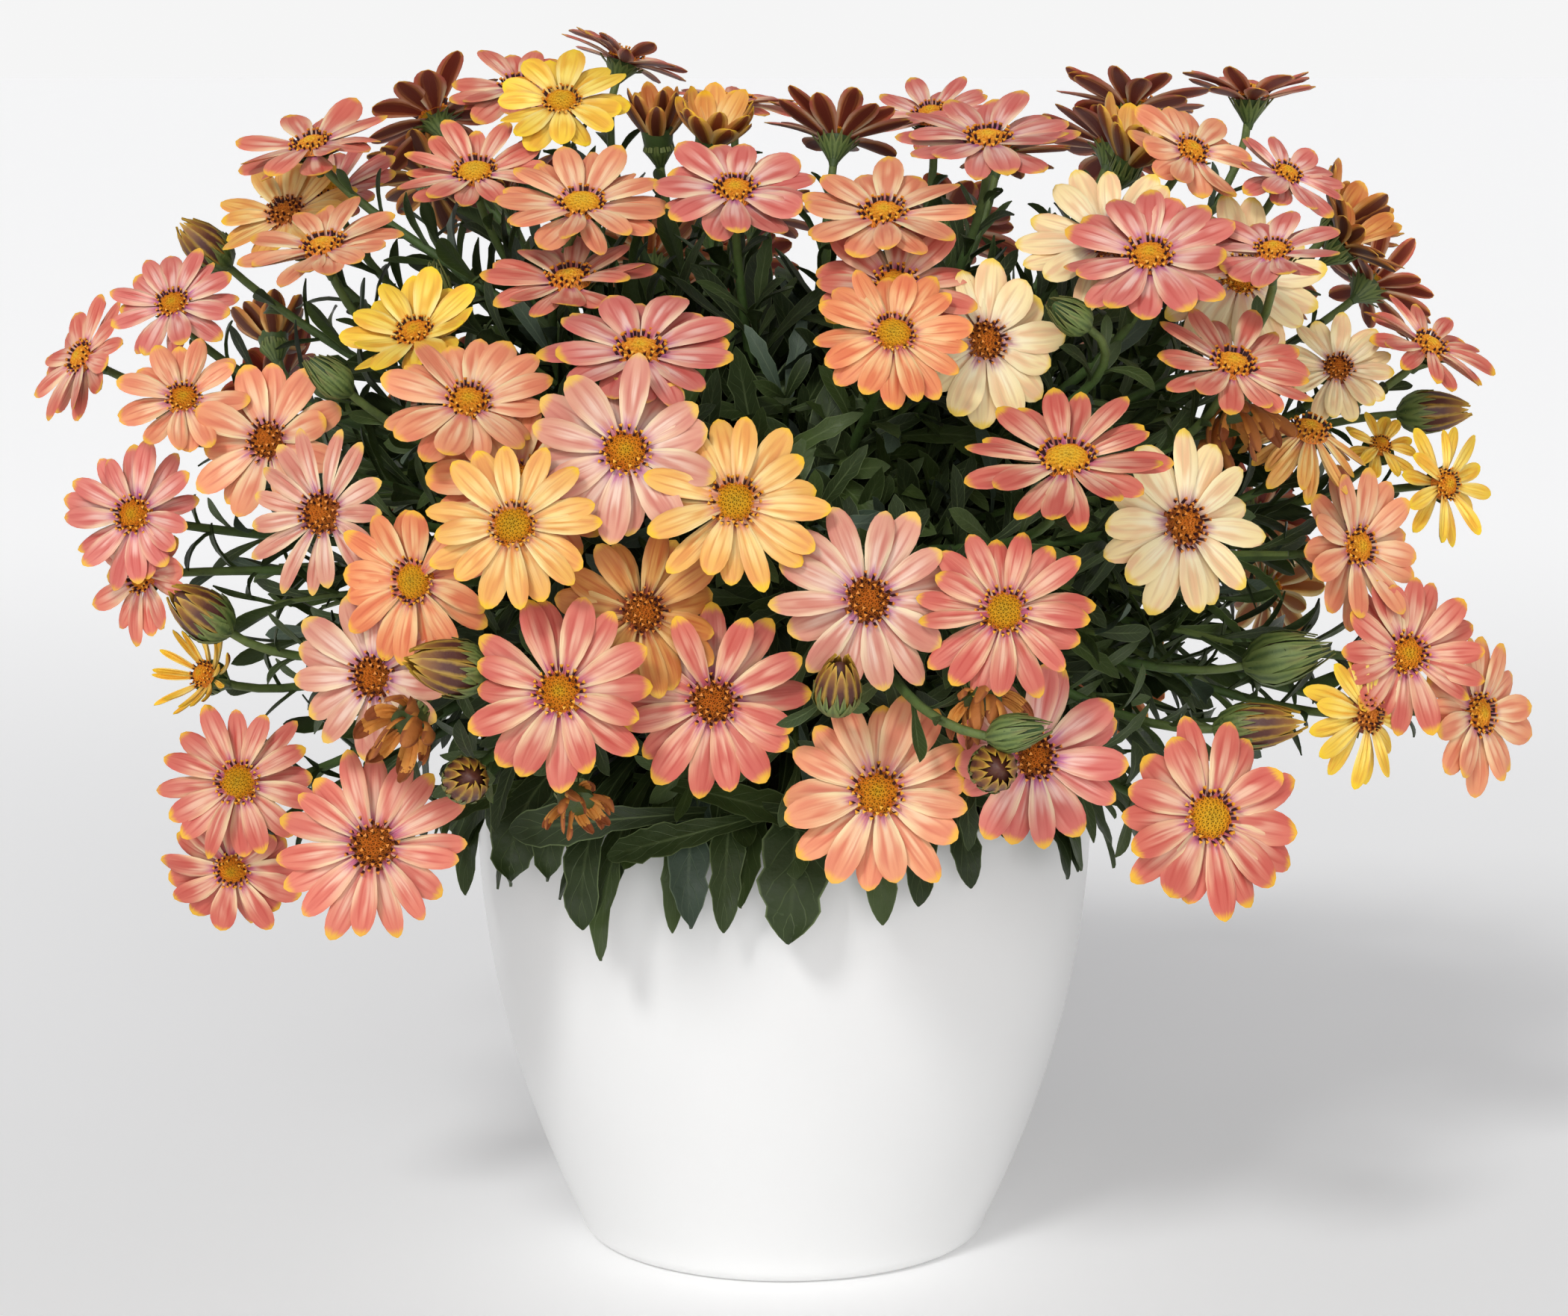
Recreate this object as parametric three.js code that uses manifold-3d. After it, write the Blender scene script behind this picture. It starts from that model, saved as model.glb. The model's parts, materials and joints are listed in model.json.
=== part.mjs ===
// An osteospermum in flower, in a round white pot.
// Units are millimetres, +Z is up, and the origin is the centre of the pot's flat underside.
// The front of the plant faces -Y.
import * as THREE from 'three';
import { mergeVertices } from 'three/addons/utils/BufferGeometryUtils.js';
import Module from 'manifold-3d';

const wasm = await Module();
wasm.setup();

// ---------------------------------------------------------------- driving dimensions

const GAP = 0.35; // clearance between separate pieces

// Pot: a thin wall that swells from the foot to a plain rim.
const POT_HEIGHT = 142;
const POT_FOOT_RADIUS = 61;
const POT_FLARE = 34; // how much wider the rim is than the foot
const POT_SWELL = 2.1; // power of the wall's curve
const POT_WALL = 2.4;
const POT_FLOOR = 4;
const FOOT_ROUND = 6; // height of the rounded corner at the foot
const FOOT_BEVEL = 1.6; // first, flatter step of that corner
const WALL_HEIGHTS = [26, 56, 96]; // where the curve of the wall is cut into flats
const POT_SIDES = 26;
const DRAIN_HOLES = 5;
const DRAIN_RADIUS = 4;
const DRAIN_SIDES = 6;
const DRAIN_CIRCLE = 38;

// Soil: fills the pot to a little under the rim, with a plain hole for the crown.
const SOIL_TOP = 130;
const SOIL_CRUMB = 2.2; // height of the lumps on its surface
const SOIL_SHRINK = 2.2; // the dried root ball stands this far off the wall
const SOIL_SIDES = 20;
const CROWN_HOLE_RADIUS = 10;
const CROWN_HOLE_FLOOR = 96;

// Plant: a crown in the soil, a small leafy core, flower stalks and the leaves along them.
const CROWN_RADIUS = 8;
const CROWN_SIDES = 8;
const CORE_CENTRE = new THREE.Vector3(0, 0, 206);
const CORE_RADII = new THREE.Vector3(84, 72, 66);
const CORE_BOTTOM = 138; // the core ends this high, just over the soil
const CORE_BUMPS = 0.36; // spread of its corners about the smooth form
const CORE_SIDES = 12;
const CORE_RINGS = 6;
const LEAF_PLACES = [0.7, 0.5]; // where a stalk may carry a leaf, from core to head
const LEAF_STRAY = 0.06; // how far those places vary
const LEAF_TURNS = 7; // directions round the stalk that are tried, to find free space
const LEAF_CLEARANCE = 13; // least distance from a leaf's corners to other leaves and stalks
const LEAF_MARGIN = 1.2; // and from the rays of the heads
const POT_CLEARANCE = 3;
const LEAF_WIDTH = 13;
const LEAF_LENGTH = 42;
const LEAF_VARIES = 0.4; // spread of the lengths
const LEAF_LEAN = 0.75; // how far a leaf leans along its stalk
const WIDEST_AT = 0.62; // along the leaf
const LEAF_RIB = 0.9; // height of the midrib over the leaf's edges
const LEAF_BACK = 0.6; // depth of the underside below them
const LEAF_DROOP = 0.12; // how far the tip bends down, as a share of the length
const STALK_RADIUS = 1.3;
const ROOT_AT = new THREE.Vector3(0.26, 0.26, 0.2); // a stalk's root, as a share of the way to its head
const LEAVE_REACH = 0.35; // handles of the stalk's curve, as shares of its length
const ARRIVE_REACH = 0.3;
const BENDS = [0, 14, 28, 42]; // sideways bends that are tried to pass the other heads
const BEND_TURNS = [0, 45, 90, 135, 180, 225, 270, 315];
const PATH_POINTS = 24;
const STALK_MARGIN = 1.6; // clearance of a stalk from the rays of the other heads
const RAY_THICKNESS = 2.5; // half the depth that the two layers of rays take up
const STRAIGHT_WITHIN = 6; // a stalk that bows less than this is cut in one length
const CALYX_RADIUS = 3.4;
const NARROW_CALYX = 2; // where the rays are bent back
const CALYX_LENGTH = 8;

// Bloom: number of rays, and fractions of the head's radius along a ray.
const FRONT_RAYS = 11; // in the wide heads that face forward
const BACK_RAYS = 8;
const WIDE_BLOOM = 25;
const BACK_FROM = 60;
const NOTCH_AT = 0.4; // where two neighbouring rays part
const SHOULDER_AT = 0.86; // the rounder corner of a ray's tip
const DISC_AT = 0.25; // edge of the central disc
const SHOULDER_SPREAD = 0.34; // half width of a ray, as a share of the spacing
const RAY_LIFT = 0.8; // the upper layer of rays stands this far above the middle of the two
const DISC_DOME = 2.8;
const HEAD_DEPTH = 2.6; // from the ray plane down to the calyx
const DISC_EDGE = 0.6; // height of the disc's edge above the ray plane
const FLORET_RELIEF = 0.9;
const SPENT_CUP = 58; // how far the rays of a spent head are closed, in degrees
const RAY_SWAY = 0.16; // how far a ray strays sideways, as a share of the spacing
const RAY_WAVE = 1.6; // spread of the heights of the tips
const RAY_SHORTFALL = 0.1; // how much shorter the shortest ray is

const COLOURS = {
  coral: 0xe8796a,
  salmon: 0xe98a72,
  pink: 0xe58f88,
  blush: 0xebb0a0,
  peach: 0xf0a878,
  cream: 0xf2d79c,
  yellow: 0xf3c559,
  orange: 0xee9656,
  bronze: 0xa5602a,
};

// Open heads: name, place of the disc (x, y, z), diameter across the rays, azimuth that the face
// points to (0 is the front, 90 is +X), its elevation, how far the rays rise from flat, colour.
const BLOOMS = [
  ['01', -82, 35, 353, 48, -1, 63, 3, 'salmon'],
  ['02', -66, -16, 349, 44, 2, 46, 3, 'yellow'],
  ['03', -51, 65, 362, 46, 113, 68, 8, 'salmon'],
  ['04', -15, 55, 348, 45, 56, 85, 4, 'salmon'],
  ['05', -39, 32, 337, 42, -20, 78, 62, 'bronze'],
  ['06', -22, 2, 337, 42, 20, 66, 50, 'yellow'],
  ['07', -141, -10, 336, 50, -30, 65, 3, 'salmon'],
  ['08', -110, 54, 344, 52, -140, 52, 0, 'salmon'],
  ['09', -91, -27, 328, 49, -6, 56, 10, 'salmon'],
  ['10', -58, -60, 320, 53, 4, 57, 9, 'peach'],
  ['11', -14, -62, 324, 50, 1, 54, 6, 'pink'],
  ['12', 16, 20, 338, 50, 165, 64, 20, 'salmon'],
  ['13', 28, -78, 318, 54, -2, 59, 6, 'peach'],
  ['14', 46, 44, 344, 46, -20, 64, 10, 'pink'],
  ['15', 59, -47, 338, 57, -4, 68, 7, 'pink'],
  ['16', 67, 43, 334, 48, 165, 68, 5, 'orange'],
  ['17', 110, 63, 347, 53, 165, 70, 12, 'salmon'],
  ['18', 104, 2, 331, 48, 40, 60, 52, 'yellow'],
  ['19', 118, -41, 335, 42, 32, 47, 4, 'peach'],
  ['20', 144, 30, 350, 48, 113, 87, 20, 'salmon'],
  ['21', 147, -32, 328, 38, 32, 52, 4, 'pink'],
  ['22', 172, 30, 311, 44, 70, 40, 40, 'bronze'],
  ['23', -139, 24, 321, 46, -22, 58, 14, 'pink'],
  ['24', -151, 6, 315, 48, -22, 46, 12, 'yellow'],
  ['25', -134, -42, 307, 52, -26, 66, 8, 'peach'],
  ['26', -112, 62, 324, 48, 165, 34, 10, 'bronze'],
  ['27', -180, -32, 290, 41, -11, 40, 3, 'pink'],
  ['29', -211, -11, 273, 44, -52, 27, 3, 'salmon'],
  ['30', -171, -74, 266, 41, 4, 36, 3, 'peach'],
  ['31', -164, 65, 273, 38, -155, 60, 50, 'bronze'],
  ['32', -146, -82, 255, 49, -21, 21, 4, 'orange'],
  ['33', -187, -65, 232, 46, -18, 14, 10, 'pink'],
  ['34', -127, -112, 238, 50, -24, 8, 12, 'peach'],
  ['35', -186, -60, 214, 44, -44, 2, 6, 'salmon'],
  ['37', -168, -60, 184, 38, -40, 24, 34, 'yellow'],
  ['38', -61, -68, 299, 52, -15, 67, 9, 'salmon'],
  ['39', -39, -125, 283, 57, 3, 61, 8, 'pink'],
  ['40', -104, -78, 284, 46, -20, 50, 20, 'yellow'],
  ['41', -86, -122, 269, 50, 9, 47, 8, 'pink'],
  ['42', -42, -151, 259, 54, 4, 22, 8, 'blush'],
  ['43', -13, -156, 246, 53, 2, 26, 2, 'yellow'],
  ['44', -71, -164, 241, 49, -4, 20, 2, 'yellow'],
  ['45', -72, -130, 248, 56, -6, 26, 2, 'orange'],
  ['46', -100, -132, 222, 49, -24, 7, 3, 'orange'],
  ['47', -38, -150, 216, 48, 20, 12, 10, 'bronze'],
  ['48', -112, -127, 195, 52, -20, 8, 6, 'blush'],
  ['51', -59, -167, 197, 54, -2, 25, 3, 'coral'],
  ['52', -19, -150, 192, 55, 2, 10, 4, 'coral'],
  ['53', 22, -161, 221, 54, 5, 12, 2, 'blush'],
  ['54', 58, -163, 218, 50, -1, 24, 3, 'coral'],
  ['55', 25, -156, 168, 58, -2, 23, 3, 'coral'],
  ['56', 67, -150, 177, 53, 15, 10, 2, 'pink'],
  ['61', 30, -109, 287, 47, 6, 36, 0, 'orange'],
  ['62', 31, -91, 299, 52, 0, 46, 4, 'salmon'],
  ['63', 56, -91, 284, 50, 20, 14, 0, 'cream'],
  ['64', 102, -89, 307, 54, -7, 52, 4, 'pink'],
  ['65', 92, -73, 311, 54, -14, 36, 4, 'cream'],
  ['66', 137, -86, 308, 42, -4, 64, 8, 'pink'],
  ['67', 133, -47, 300, 52, 6, 20, -6, 'cream'],
  ['68', 125, -94, 277, 52, 16, 59, 5, 'salmon'],
  ['69', 164, -29, 271, 38, 3, 34, 4, 'cream'],
  ['70', 192, -22, 277, 46, 43, 51, 4, 'coral'],
  ['71', 75, -149, 256, 57, -5, 57, 7, 'coral'],
  ['72', 110, -112, 235, 56, 28, 10, 0, 'cream'],
  ['74', 153, -52, 255, 46, 22, 60, -35, 'yellow'],
  ['75', 167, -52, 221, 50, 38, 12, 10, 'peach'],
  ['76', 182, -56, 190, 52, 18, 14, 2, 'coral'],
  ['77', 198, -20, 236, 40, 38, 8, 4, 'yellow'],
  ['78', 179, -18, 247, 26, 19, 44, 6, 'yellow'],
  ['80', 169, -67, 174, 46, 42, 8, -10, 'yellow'],
  ['81', 206, -42, 170, 51, 45, 9, 2, 'peach'],
  ['82', 115, -144, 159, 57, 17, 15, 2, 'coral'],
  ['84', -157, -79, 156, 51, -8, 20, 2, 'coral'],
  ['85', -160, -74, 130, 44, -8, -15, 3, 'coral'],
  ['86', -114, -119, 146, 58, -5, 12, 3, 'coral'],
  ['93', 170, 5, 306, 40, 80, 40, 30, 'bronze'],
  ['a1', 181, 23, 293, 46, 130, 30, 12, 'salmon'],
  ['a2', -166, 81, 256, 50, -118, 24, 6, 'coral'],
  ['a3', -116, 139, 249, 52, -140, 34, 6, 'pink'],
  ['a4', -134, 127, 217, 52, -130, 14, 4, 'coral'],
  ['a5', -112, 149, 221, 54, -148, 16, 4, 'peach'],
  ['a6', -92, 100, 318, 52, -150, 54, 8, 'pink'],
  ['a7', -118, 134, 166, 54, -140, 4, 2, 'salmon'],
  ['a8', -51, 169, 227, 52, -168, 24, 4, 'coral'],
  ['a9', -45, 136, 295, 54, -165, 46, 6, 'peach'],
  ['b1', -47, 170, 204, 54, -162, 8, 2, 'yellow'],
  ['b2', -11, 117, 311, 54, 180, 62, 8, 'salmon'],
  ['b3', -12, 178, 207, 54, 178, 14, 4, 'pink'],
  ['b4', -21, 146, 294, 54, 175, 38, 4, 'coral'],
  ['b5', 4, 172, 152, 54, 180, 0, 2, 'coral'],
  ['b6', 76, 163, 230, 54, 165, 22, 4, 'orange'],
  ['b7', 57, 171, 206, 52, 164, 8, 2, 'blush'],
  ['b8', 54, 124, 308, 54, 160, 50, 6, 'pink'],
  ['b9', 112, 146, 268, 54, 150, 34, 4, 'coral'],
  ['c1', 112, 148, 222, 54, 146, 14, 2, 'salmon'],
  ['c2', 110, 136, 154, 52, 144, 0, 2, 'peach'],
  ['c3', 106, 79, 334, 52, 146, 56, 8, 'salmon'],
  ['c4', 154, 102, 292, 52, 130, 38, 6, 'pink'],
  ['c5', 159, 105, 212, 54, 126, 18, 2, 'coral'],
  ['c6', 162, 98, 188, 52, 120, 4, 2, 'cream'],
];

// Outline of a bud, as shares of its diameter and length, measured from its middle.
const BUD_PROFILE = [[0, -0.5], [0.48, -0.22], [0.4, 0.22], [0, 0.5]];
const BUD_SIDES = 6;
const BUD_FOOT = 0.4; // where the stalk ends inside the bud

// Buds: name, place of the middle (x, y, z), length, diameter, azimuth and elevation of the tip.
const BUDS = [
  ['28', -177, 10, 306, 21, 14, -60, 42],
  ['36', -166, -86, 207, 22, 15, -66, 38],
  ['50', -89, -160, 203, 23, 16, -66, 14],
  ['57', 14, -178, 201, 18, 13, 10, 64],
  ['58', 61, -180, 189, 20, 12, 74, 12],
  ['59', 55, -178, 179, 14, 13, 10, 10],
  ['79', 198, 0, 256, 22, 14, 84, 4],
  ['83', 135, -92, 175, 26, 14, 80, 6],
  ['87', -85, -152, 171, 15, 13, 20, 16],
  ['89', -100, -59, 297, 18, 11, -10, 80],
  ['90', -127, -96, 275, 20, 12, -60, 40],
  ['91', 79, -99, 292, 18, 12, -60, 30],
  ['92', 146, -66, 191, 30, 19, 82, 14],
  ['d1', -84, 152, 262, 20, 13, -150, 40],
  ['d2', 89, 146, 241, 20, 13, 160, 30],
];

// Spent heads: name, place (x, y, z), diameter of the shrivelled rays, azimuth and elevation.
const SPENT = [
  ['49', -101, -138, 185, 40, -20, -30],
  ['60', 52, -167, 197, 36, 10, -50],
  ['73', 128, -78, 264, 44, 20, -60],
  ['88', -56, -156, 167, 28, 20, -40],
  ['d3', 140, 128, 196, 40, 130, -40],
];

// Outline of a large leaf: places along it, and its width there as a share of the full width.
const RIM_LEAF_OUTLINE = [[0, 0.2], [0.45, 0.4], [0.72, 1], [0.84, 0.75], [1, 0.08]];

// Large leaves that hang over the rim: root, highest point and tip (x, y, z each), then the width.
const RIM_LEAVES = [
  [[-30, -36, 172], [-84, -88, 166], [-78, -90, 128], 15],
  [[-24, -40, 172], [-72, -96, 166], [-67, -97, 131], 13],
  [[-20, -40, 172], [-64, -98, 166], [-57, -102, 118], 14],
  [[-16, -40, 170], [-48, -102, 164], [-52, -106, 110], 13],
  [[-8, -44, 170], [-34, -106, 162], [-26, -109, 120], 14],
  [[-4, -44, 172], [-14, -106, 166], [-17, -110, 119], 11],
  [[4, -44, 170], [6, -110, 166], [1, -111, 116], 22],
  [[40, -36, 172], [92, -74, 168], [96, -74, 130], 12],
  [[42, -30, 172], [102, -64, 166], [104, -62, 132], 12],
  [[-40, -34, 172], [-96, -66, 168], [-100, -62, 134], 13],
  [[-44, 0, 172], [-112, 6, 168], [-118, 8, 134], 14],
  [[-10, 44, 172], [-24, 110, 168], [-26, 114, 128], 15],
  [[14, 44, 172], [34, 108, 168], [38, 110, 130], 13],
  [[44, 4, 172], [112, 8, 168], [118, 8, 136], 14],
];

// ---------------------------------------------------------------- helpers

const DEGREES = Math.PI / 180;
const UP = new THREE.Vector3(0, 0, 1);
const NEAR_UP = new THREE.Vector3(0.31, 0.17, 0.93); // never along a stalk

function seededRandom(seed) {
  let state = seed;
  return () => {
    state = (state + 0x6d2b79f5) | 0;
    let mixed = Math.imul(state ^ (state >>> 15), 1 | state);
    mixed = (mixed + Math.imul(mixed ^ (mixed >>> 7), 61 | mixed)) ^ mixed;
    return ((mixed ^ (mixed >>> 14)) >>> 0) / 4294967296;
  };
}

function seedOf(name) {
  return [...name].reduce((sum, letter) => sum * 31 + letter.charCodeAt(0), 7);
}

// The direction with this azimuth (from the front towards +X) and elevation.
function facing(azimuth, elevation) {
  const level = Math.cos(elevation * DEGREES);
  return new THREE.Vector3(
    Math.sin(azimuth * DEGREES) * level,
    -Math.cos(azimuth * DEGREES) * level,
    Math.sin(elevation * DEGREES),
  );
}

// A placement whose local +Z points along the normal.
function standOn(place, normal) {
  const turn = new THREE.Quaternion().setFromUnitVectors(UP, normal);
  return new THREE.Matrix4().compose(place, turn, new THREE.Vector3(1, 1, 1));
}

function solidFrom(points, triangles) {
  return new wasm.Manifold(new wasm.Mesh({
    numProp: 3,
    vertProperties: new Float32Array(points.flatMap((point) => point.toArray())),
    triVerts: new Uint32Array(triangles.flat()),
  }));
}

function solidFromGeometry(geometry) {
  geometry.deleteAttribute('normal');
  geometry.deleteAttribute('uv');
  const merged = mergeVertices(geometry, 1e-4);
  return new wasm.Manifold(new wasm.Mesh({
    numProp: 3,
    vertProperties: new Float32Array(merged.attributes.position.array),
    triVerts: new Uint32Array(merged.index.array),
  }));
}

function geometryFrom(solid) {
  const mesh = solid.getMesh();
  const geometry = new THREE.BufferGeometry();
  geometry.setAttribute('position', new THREE.BufferAttribute(new Float32Array(mesh.vertProperties), 3));
  geometry.setIndex(new THREE.BufferAttribute(new Uint32Array(mesh.triVerts), 1));
  geometry.computeVertexNormals();
  return geometry;
}

function namedMesh(name, solid, colour, roughness) {
  const material = new THREE.MeshStandardMaterial({ color: colour, roughness, metalness: 0 });
  const mesh = new THREE.Mesh(geometryFrom(solid), material);
  mesh.name = name;
  return mesh;
}

function joinAll(solids) {
  let level = solids;
  while (level.length > 1) {
    const next = [];
    for (let i = 0; i < level.length; i += 2) {
      next.push(i + 1 < level.length ? level[i].add(level[i + 1]) : level[i]);
    }
    level = next;
  }
  return level[0];
}

// The largest outer body: loose scraps and sealed hollows are dropped.
function largestBody(solid) {
  return solid.decompose().reduce((best, piece) => (piece.volume() > best.volume() ? piece : best));
}

function lathe(profile, sides) {
  const points = profile.map(([radius, height]) => new THREE.Vector2(radius, height));
  return new THREE.LatheGeometry(points, sides).rotateX(Math.PI / 2);
}

// A swept solid: every ring of points is joined to the next, and the two ends are closed.
function sweptSolid(rings) {
  const sides = rings[0].length;
  const triangles = [];
  for (let ring = 0; ring + 1 < rings.length; ring += 1) {
    for (let side = 0; side < sides; side += 1) {
      const here = ring * sides + side;
      const beside = ring * sides + ((side + 1) % sides);
      triangles.push([here, beside, beside + sides], [here, beside + sides, here + sides]);
    }
  }
  const last = (rings.length - 1) * sides;
  for (let side = 1; side + 1 < sides; side += 1) {
    triangles.push([0, side + 1, side], [last, last + side, last + side + 1]);
  }
  return solidFrom(rings.flat(), triangles);
}

// ---------------------------------------------------------------- pot and soil

function potRadius(height) {
  return POT_FOOT_RADIUS + POT_FLARE * (1 - (1 - height / POT_HEIGHT) ** POT_SWELL);
}

function potInside(height) {
  return potRadius(height) - POT_WALL;
}

function makePot() {
  const inner = [...WALL_HEIGHTS].reverse();
  const profile = [
    [0, 0],
    [potRadius(0) - FOOT_ROUND, 0],
    [potRadius(0) - FOOT_BEVEL, FOOT_BEVEL],
    [potRadius(FOOT_ROUND), FOOT_ROUND],
    ...WALL_HEIGHTS.map((height) => [potRadius(height), height]),
    [potRadius(POT_HEIGHT), POT_HEIGHT],
    [potInside(POT_HEIGHT), POT_HEIGHT],
    ...inner.map((height) => [potInside(height), height]),
    [potInside(FOOT_ROUND) - FOOT_BEVEL, FOOT_ROUND + FOOT_BEVEL],
    [potInside(0) - FOOT_ROUND, POT_FLOOR],
    [0, POT_FLOOR],
  ];
  let pot = solidFromGeometry(lathe(profile, POT_SIDES));
  for (let hole = 0; hole < DRAIN_HOLES; hole += 1) {
    const angle = ((hole + 0.5) / DRAIN_HOLES) * 2 * Math.PI;
    const drain = new THREE.CylinderGeometry(DRAIN_RADIUS, DRAIN_RADIUS, 4 * POT_FLOOR, DRAIN_SIDES);
    drain.rotateX(Math.PI / 2).translate(DRAIN_CIRCLE * Math.cos(angle), DRAIN_CIRCLE * Math.sin(angle), 0);
    pot = pot.subtract(solidFromGeometry(drain));
  }
  return pot;
}

function makeSoil() {
  const floor = POT_FLOOR + GAP;
  const profile = [
    [0, floor],
    [potInside(0) - 2 * FOOT_ROUND, floor],
    ...WALL_HEIGHTS.map((height) => [potInside(height) - SOIL_SHRINK, height]),
    [potInside(SOIL_TOP) - SOIL_SHRINK, SOIL_TOP - 4],
    [0.8 * potInside(SOIL_TOP), SOIL_TOP],
    [0.4 * potInside(SOIL_TOP), SOIL_TOP + 2],
    [CROWN_HOLE_RADIUS, SOIL_TOP + 1],
    [CROWN_HOLE_RADIUS, CROWN_HOLE_FLOOR],
    [0, CROWN_HOLE_FLOOR],
  ];
  const geometry = lathe(profile, SOIL_SIDES);
  const position = geometry.attributes.position;
  for (let i = 0; i < position.count; i += 1) {
    const radius = Math.hypot(position.getX(i), position.getY(i));
    if (position.getZ(i) >= SOIL_TOP && radius > CROWN_HOLE_RADIUS + 1) {
      const angle = Math.atan2(position.getY(i), position.getX(i));
      const crumb = 0.6 * Math.sin(7 * angle + radius) + 0.4 * Math.sin(11 * angle - 0.7 * radius);
      position.setZ(i, position.getZ(i) + SOIL_CRUMB * crumb);
    }
  }
  return solidFromGeometry(geometry);
}

// ---------------------------------------------------------------- blooms

function readBloom([name, x, y, z, diameter, azimuth, elevation, cup, colour]) {
  const centre = new THREE.Vector3(x, y, z);
  const normal = facing(azimuth, elevation);
  return { name, centre, normal, radius: diameter / 2, cup: cup * DEGREES, colour };
}

// A closed star of rays with a domed, ribbed disc. The top and the underside share the outline.
function bloomSolid(bloom) {
  const { name, centre, normal, radius, cup } = bloom;
  const random = seededRandom(seedOf(name));
  const rays = radius > WIDE_BLOOM && centre.y < BACK_FROM ? FRONT_RAYS : BACK_RAYS;
  const spacing = (2 * Math.PI) / rays;
  const spin = random() * spacing;
  const at = (angle, along, height) => new THREE.Vector3(
    Math.cos(angle) * along * radius * Math.cos(cup),
    Math.sin(angle) * along * radius * Math.cos(cup),
    along * radius * Math.sin(cup) + height,
  );
  const points = [];
  for (let ray = 0; ray < rays; ray += 1) {
    const angle = spin + ray * spacing + (random() - 0.5) * RAY_SWAY * spacing;
    const upper = ray % 2 === 0;
    const lift = (upper ? RAY_LIFT : -RAY_LIFT) + (random() - 0.5) * RAY_WAVE;
    const reach = 1 - RAY_SHORTFALL * random();
    const notchAngle = spin + (ray - 0.5) * spacing;
    points.push(
      at(notchAngle, DISC_AT, DISC_EDGE + (upper ? FLORET_RELIEF : 0)),
      at(notchAngle, NOTCH_AT, 0),
      at(angle - SHOULDER_SPREAD * spacing, reach * (upper ? 1 : SHOULDER_AT), lift),
      at(angle + SHOULDER_SPREAD * spacing, reach * (upper ? SHOULDER_AT : 1), lift),
    );
  }
  const top = points.push(new THREE.Vector3(0, 0, DISC_DOME)) - 1;
  const bottom = points.push(new THREE.Vector3(0, 0, -HEAD_DEPTH)) - 1;
  const triangles = [];
  for (let ray = 0; ray < rays; ray += 1) {
    const [disc, notch, left, right] = [0, 1, 2, 3].map((k) => 4 * ray + k);
    const nextDisc = 4 * ((ray + 1) % rays);
    const nextNotch = nextDisc + 1;
    triangles.push(
      [disc, notch, left],
      [disc, left, right],
      [disc, right, nextDisc],
      [nextDisc, right, nextNotch],
      [top, disc, nextDisc],
      [bottom, left, notch],
      [bottom, right, left],
      [bottom, nextNotch, right],
    );
  }
  const placement = standOn(centre, normal);
  return solidFrom(points.map((point) => point.applyMatrix4(placement)), triangles);
}

// Whether a point lies in or close to the rays of a bloom.
function touchesBloom(point, bloom, margin) {
  const offset = point.clone().sub(bloom.centre);
  const height = offset.dot(bloom.normal);
  const across = Math.sqrt(Math.max(0, offset.lengthSq() - height * height));
  if (across > bloom.radius * Math.cos(bloom.cup) + margin) return false;
  return Math.abs(height - across * Math.tan(bloom.cup)) < RAY_THICKNESS + margin;
}

// ---------------------------------------------------------------- stalks, buds and spent heads

// The stalk's path from the core to a head, bent sideways by the given step.
function stalkPath(foot, normal, side, bend) {
  const outward = foot.clone().sub(CORE_CENTRE);
  const root = outward.clone().multiply(ROOT_AT).add(CORE_CENTRE);
  const reach = foot.distanceTo(root);
  const leave = root.clone().addScaledVector(outward.normalize(), LEAVE_REACH * reach);
  leave.addScaledVector(side, bend);
  const arrive = foot.clone().addScaledVector(normal, -ARRIVE_REACH * reach);
  arrive.addScaledVector(side, 0.5 * bend);
  return new THREE.CubicBezierCurve3(root, leave, arrive, foot);
}

// The path that stays clear of most heads, out of a few that bend to either side.
function clearPath(foot, normal, ownName, blooms) {
  const radial = foot.clone().sub(CORE_CENTRE).normalize();
  const across = new THREE.Vector3().crossVectors(radial, UP).normalize();
  const above = new THREE.Vector3().crossVectors(across, radial).normalize();
  let best = null;
  const others = blooms.filter((bloom) => bloom.name !== ownName);
  for (const bend of BENDS) {
    for (const turn of bend === 0 ? [0] : BEND_TURNS) {
      const side = across.clone().multiplyScalar(Math.cos(turn * DEGREES));
      side.addScaledVector(above, Math.sin(turn * DEGREES));
      const path = stalkPath(foot, normal, side, bend);
      const isHit = (point) => others.some((bloom) => touchesBloom(point, bloom, STALK_MARGIN));
      const cost = path.getPoints(PATH_POINTS).filter(isHit).length + bend / 200;
      if (best === null || cost < best.cost) best = { cost, path };
    }
  }
  return best.path;
}

// A three-sided stalk that widens into the calyx under the head.
function stalkSolid(path, calyxRadius, extra) {
  const flare = 1 - CALYX_LENGTH / path.getLength();
  const bow = path.getPointAt(0.5).distanceTo(path.v0.clone().lerp(path.v3, 0.5));
  const stations = bow < STRAIGHT_WITHIN ? [0, flare, 1] : [0, 0.45, flare, 1];
  const radiusAt = (station) => (station === 1 ? calyxRadius : (1.5 - 0.5 * station) * STALK_RADIUS);
  const rings = stations.map((station) => {
    const point = path.getPointAt(station);
    const tangent = path.getTangentAt(station);
    const across = new THREE.Vector3().crossVectors(tangent, NEAR_UP).normalize();
    return [0, 120, 240].map((angle) => {
      const spoke = across.clone().applyAxisAngle(tangent, angle * DEGREES);
      return point.clone().addScaledVector(spoke, radiusAt(station) + extra);
    });
  });
  return sweptSolid(rings);
}

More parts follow.
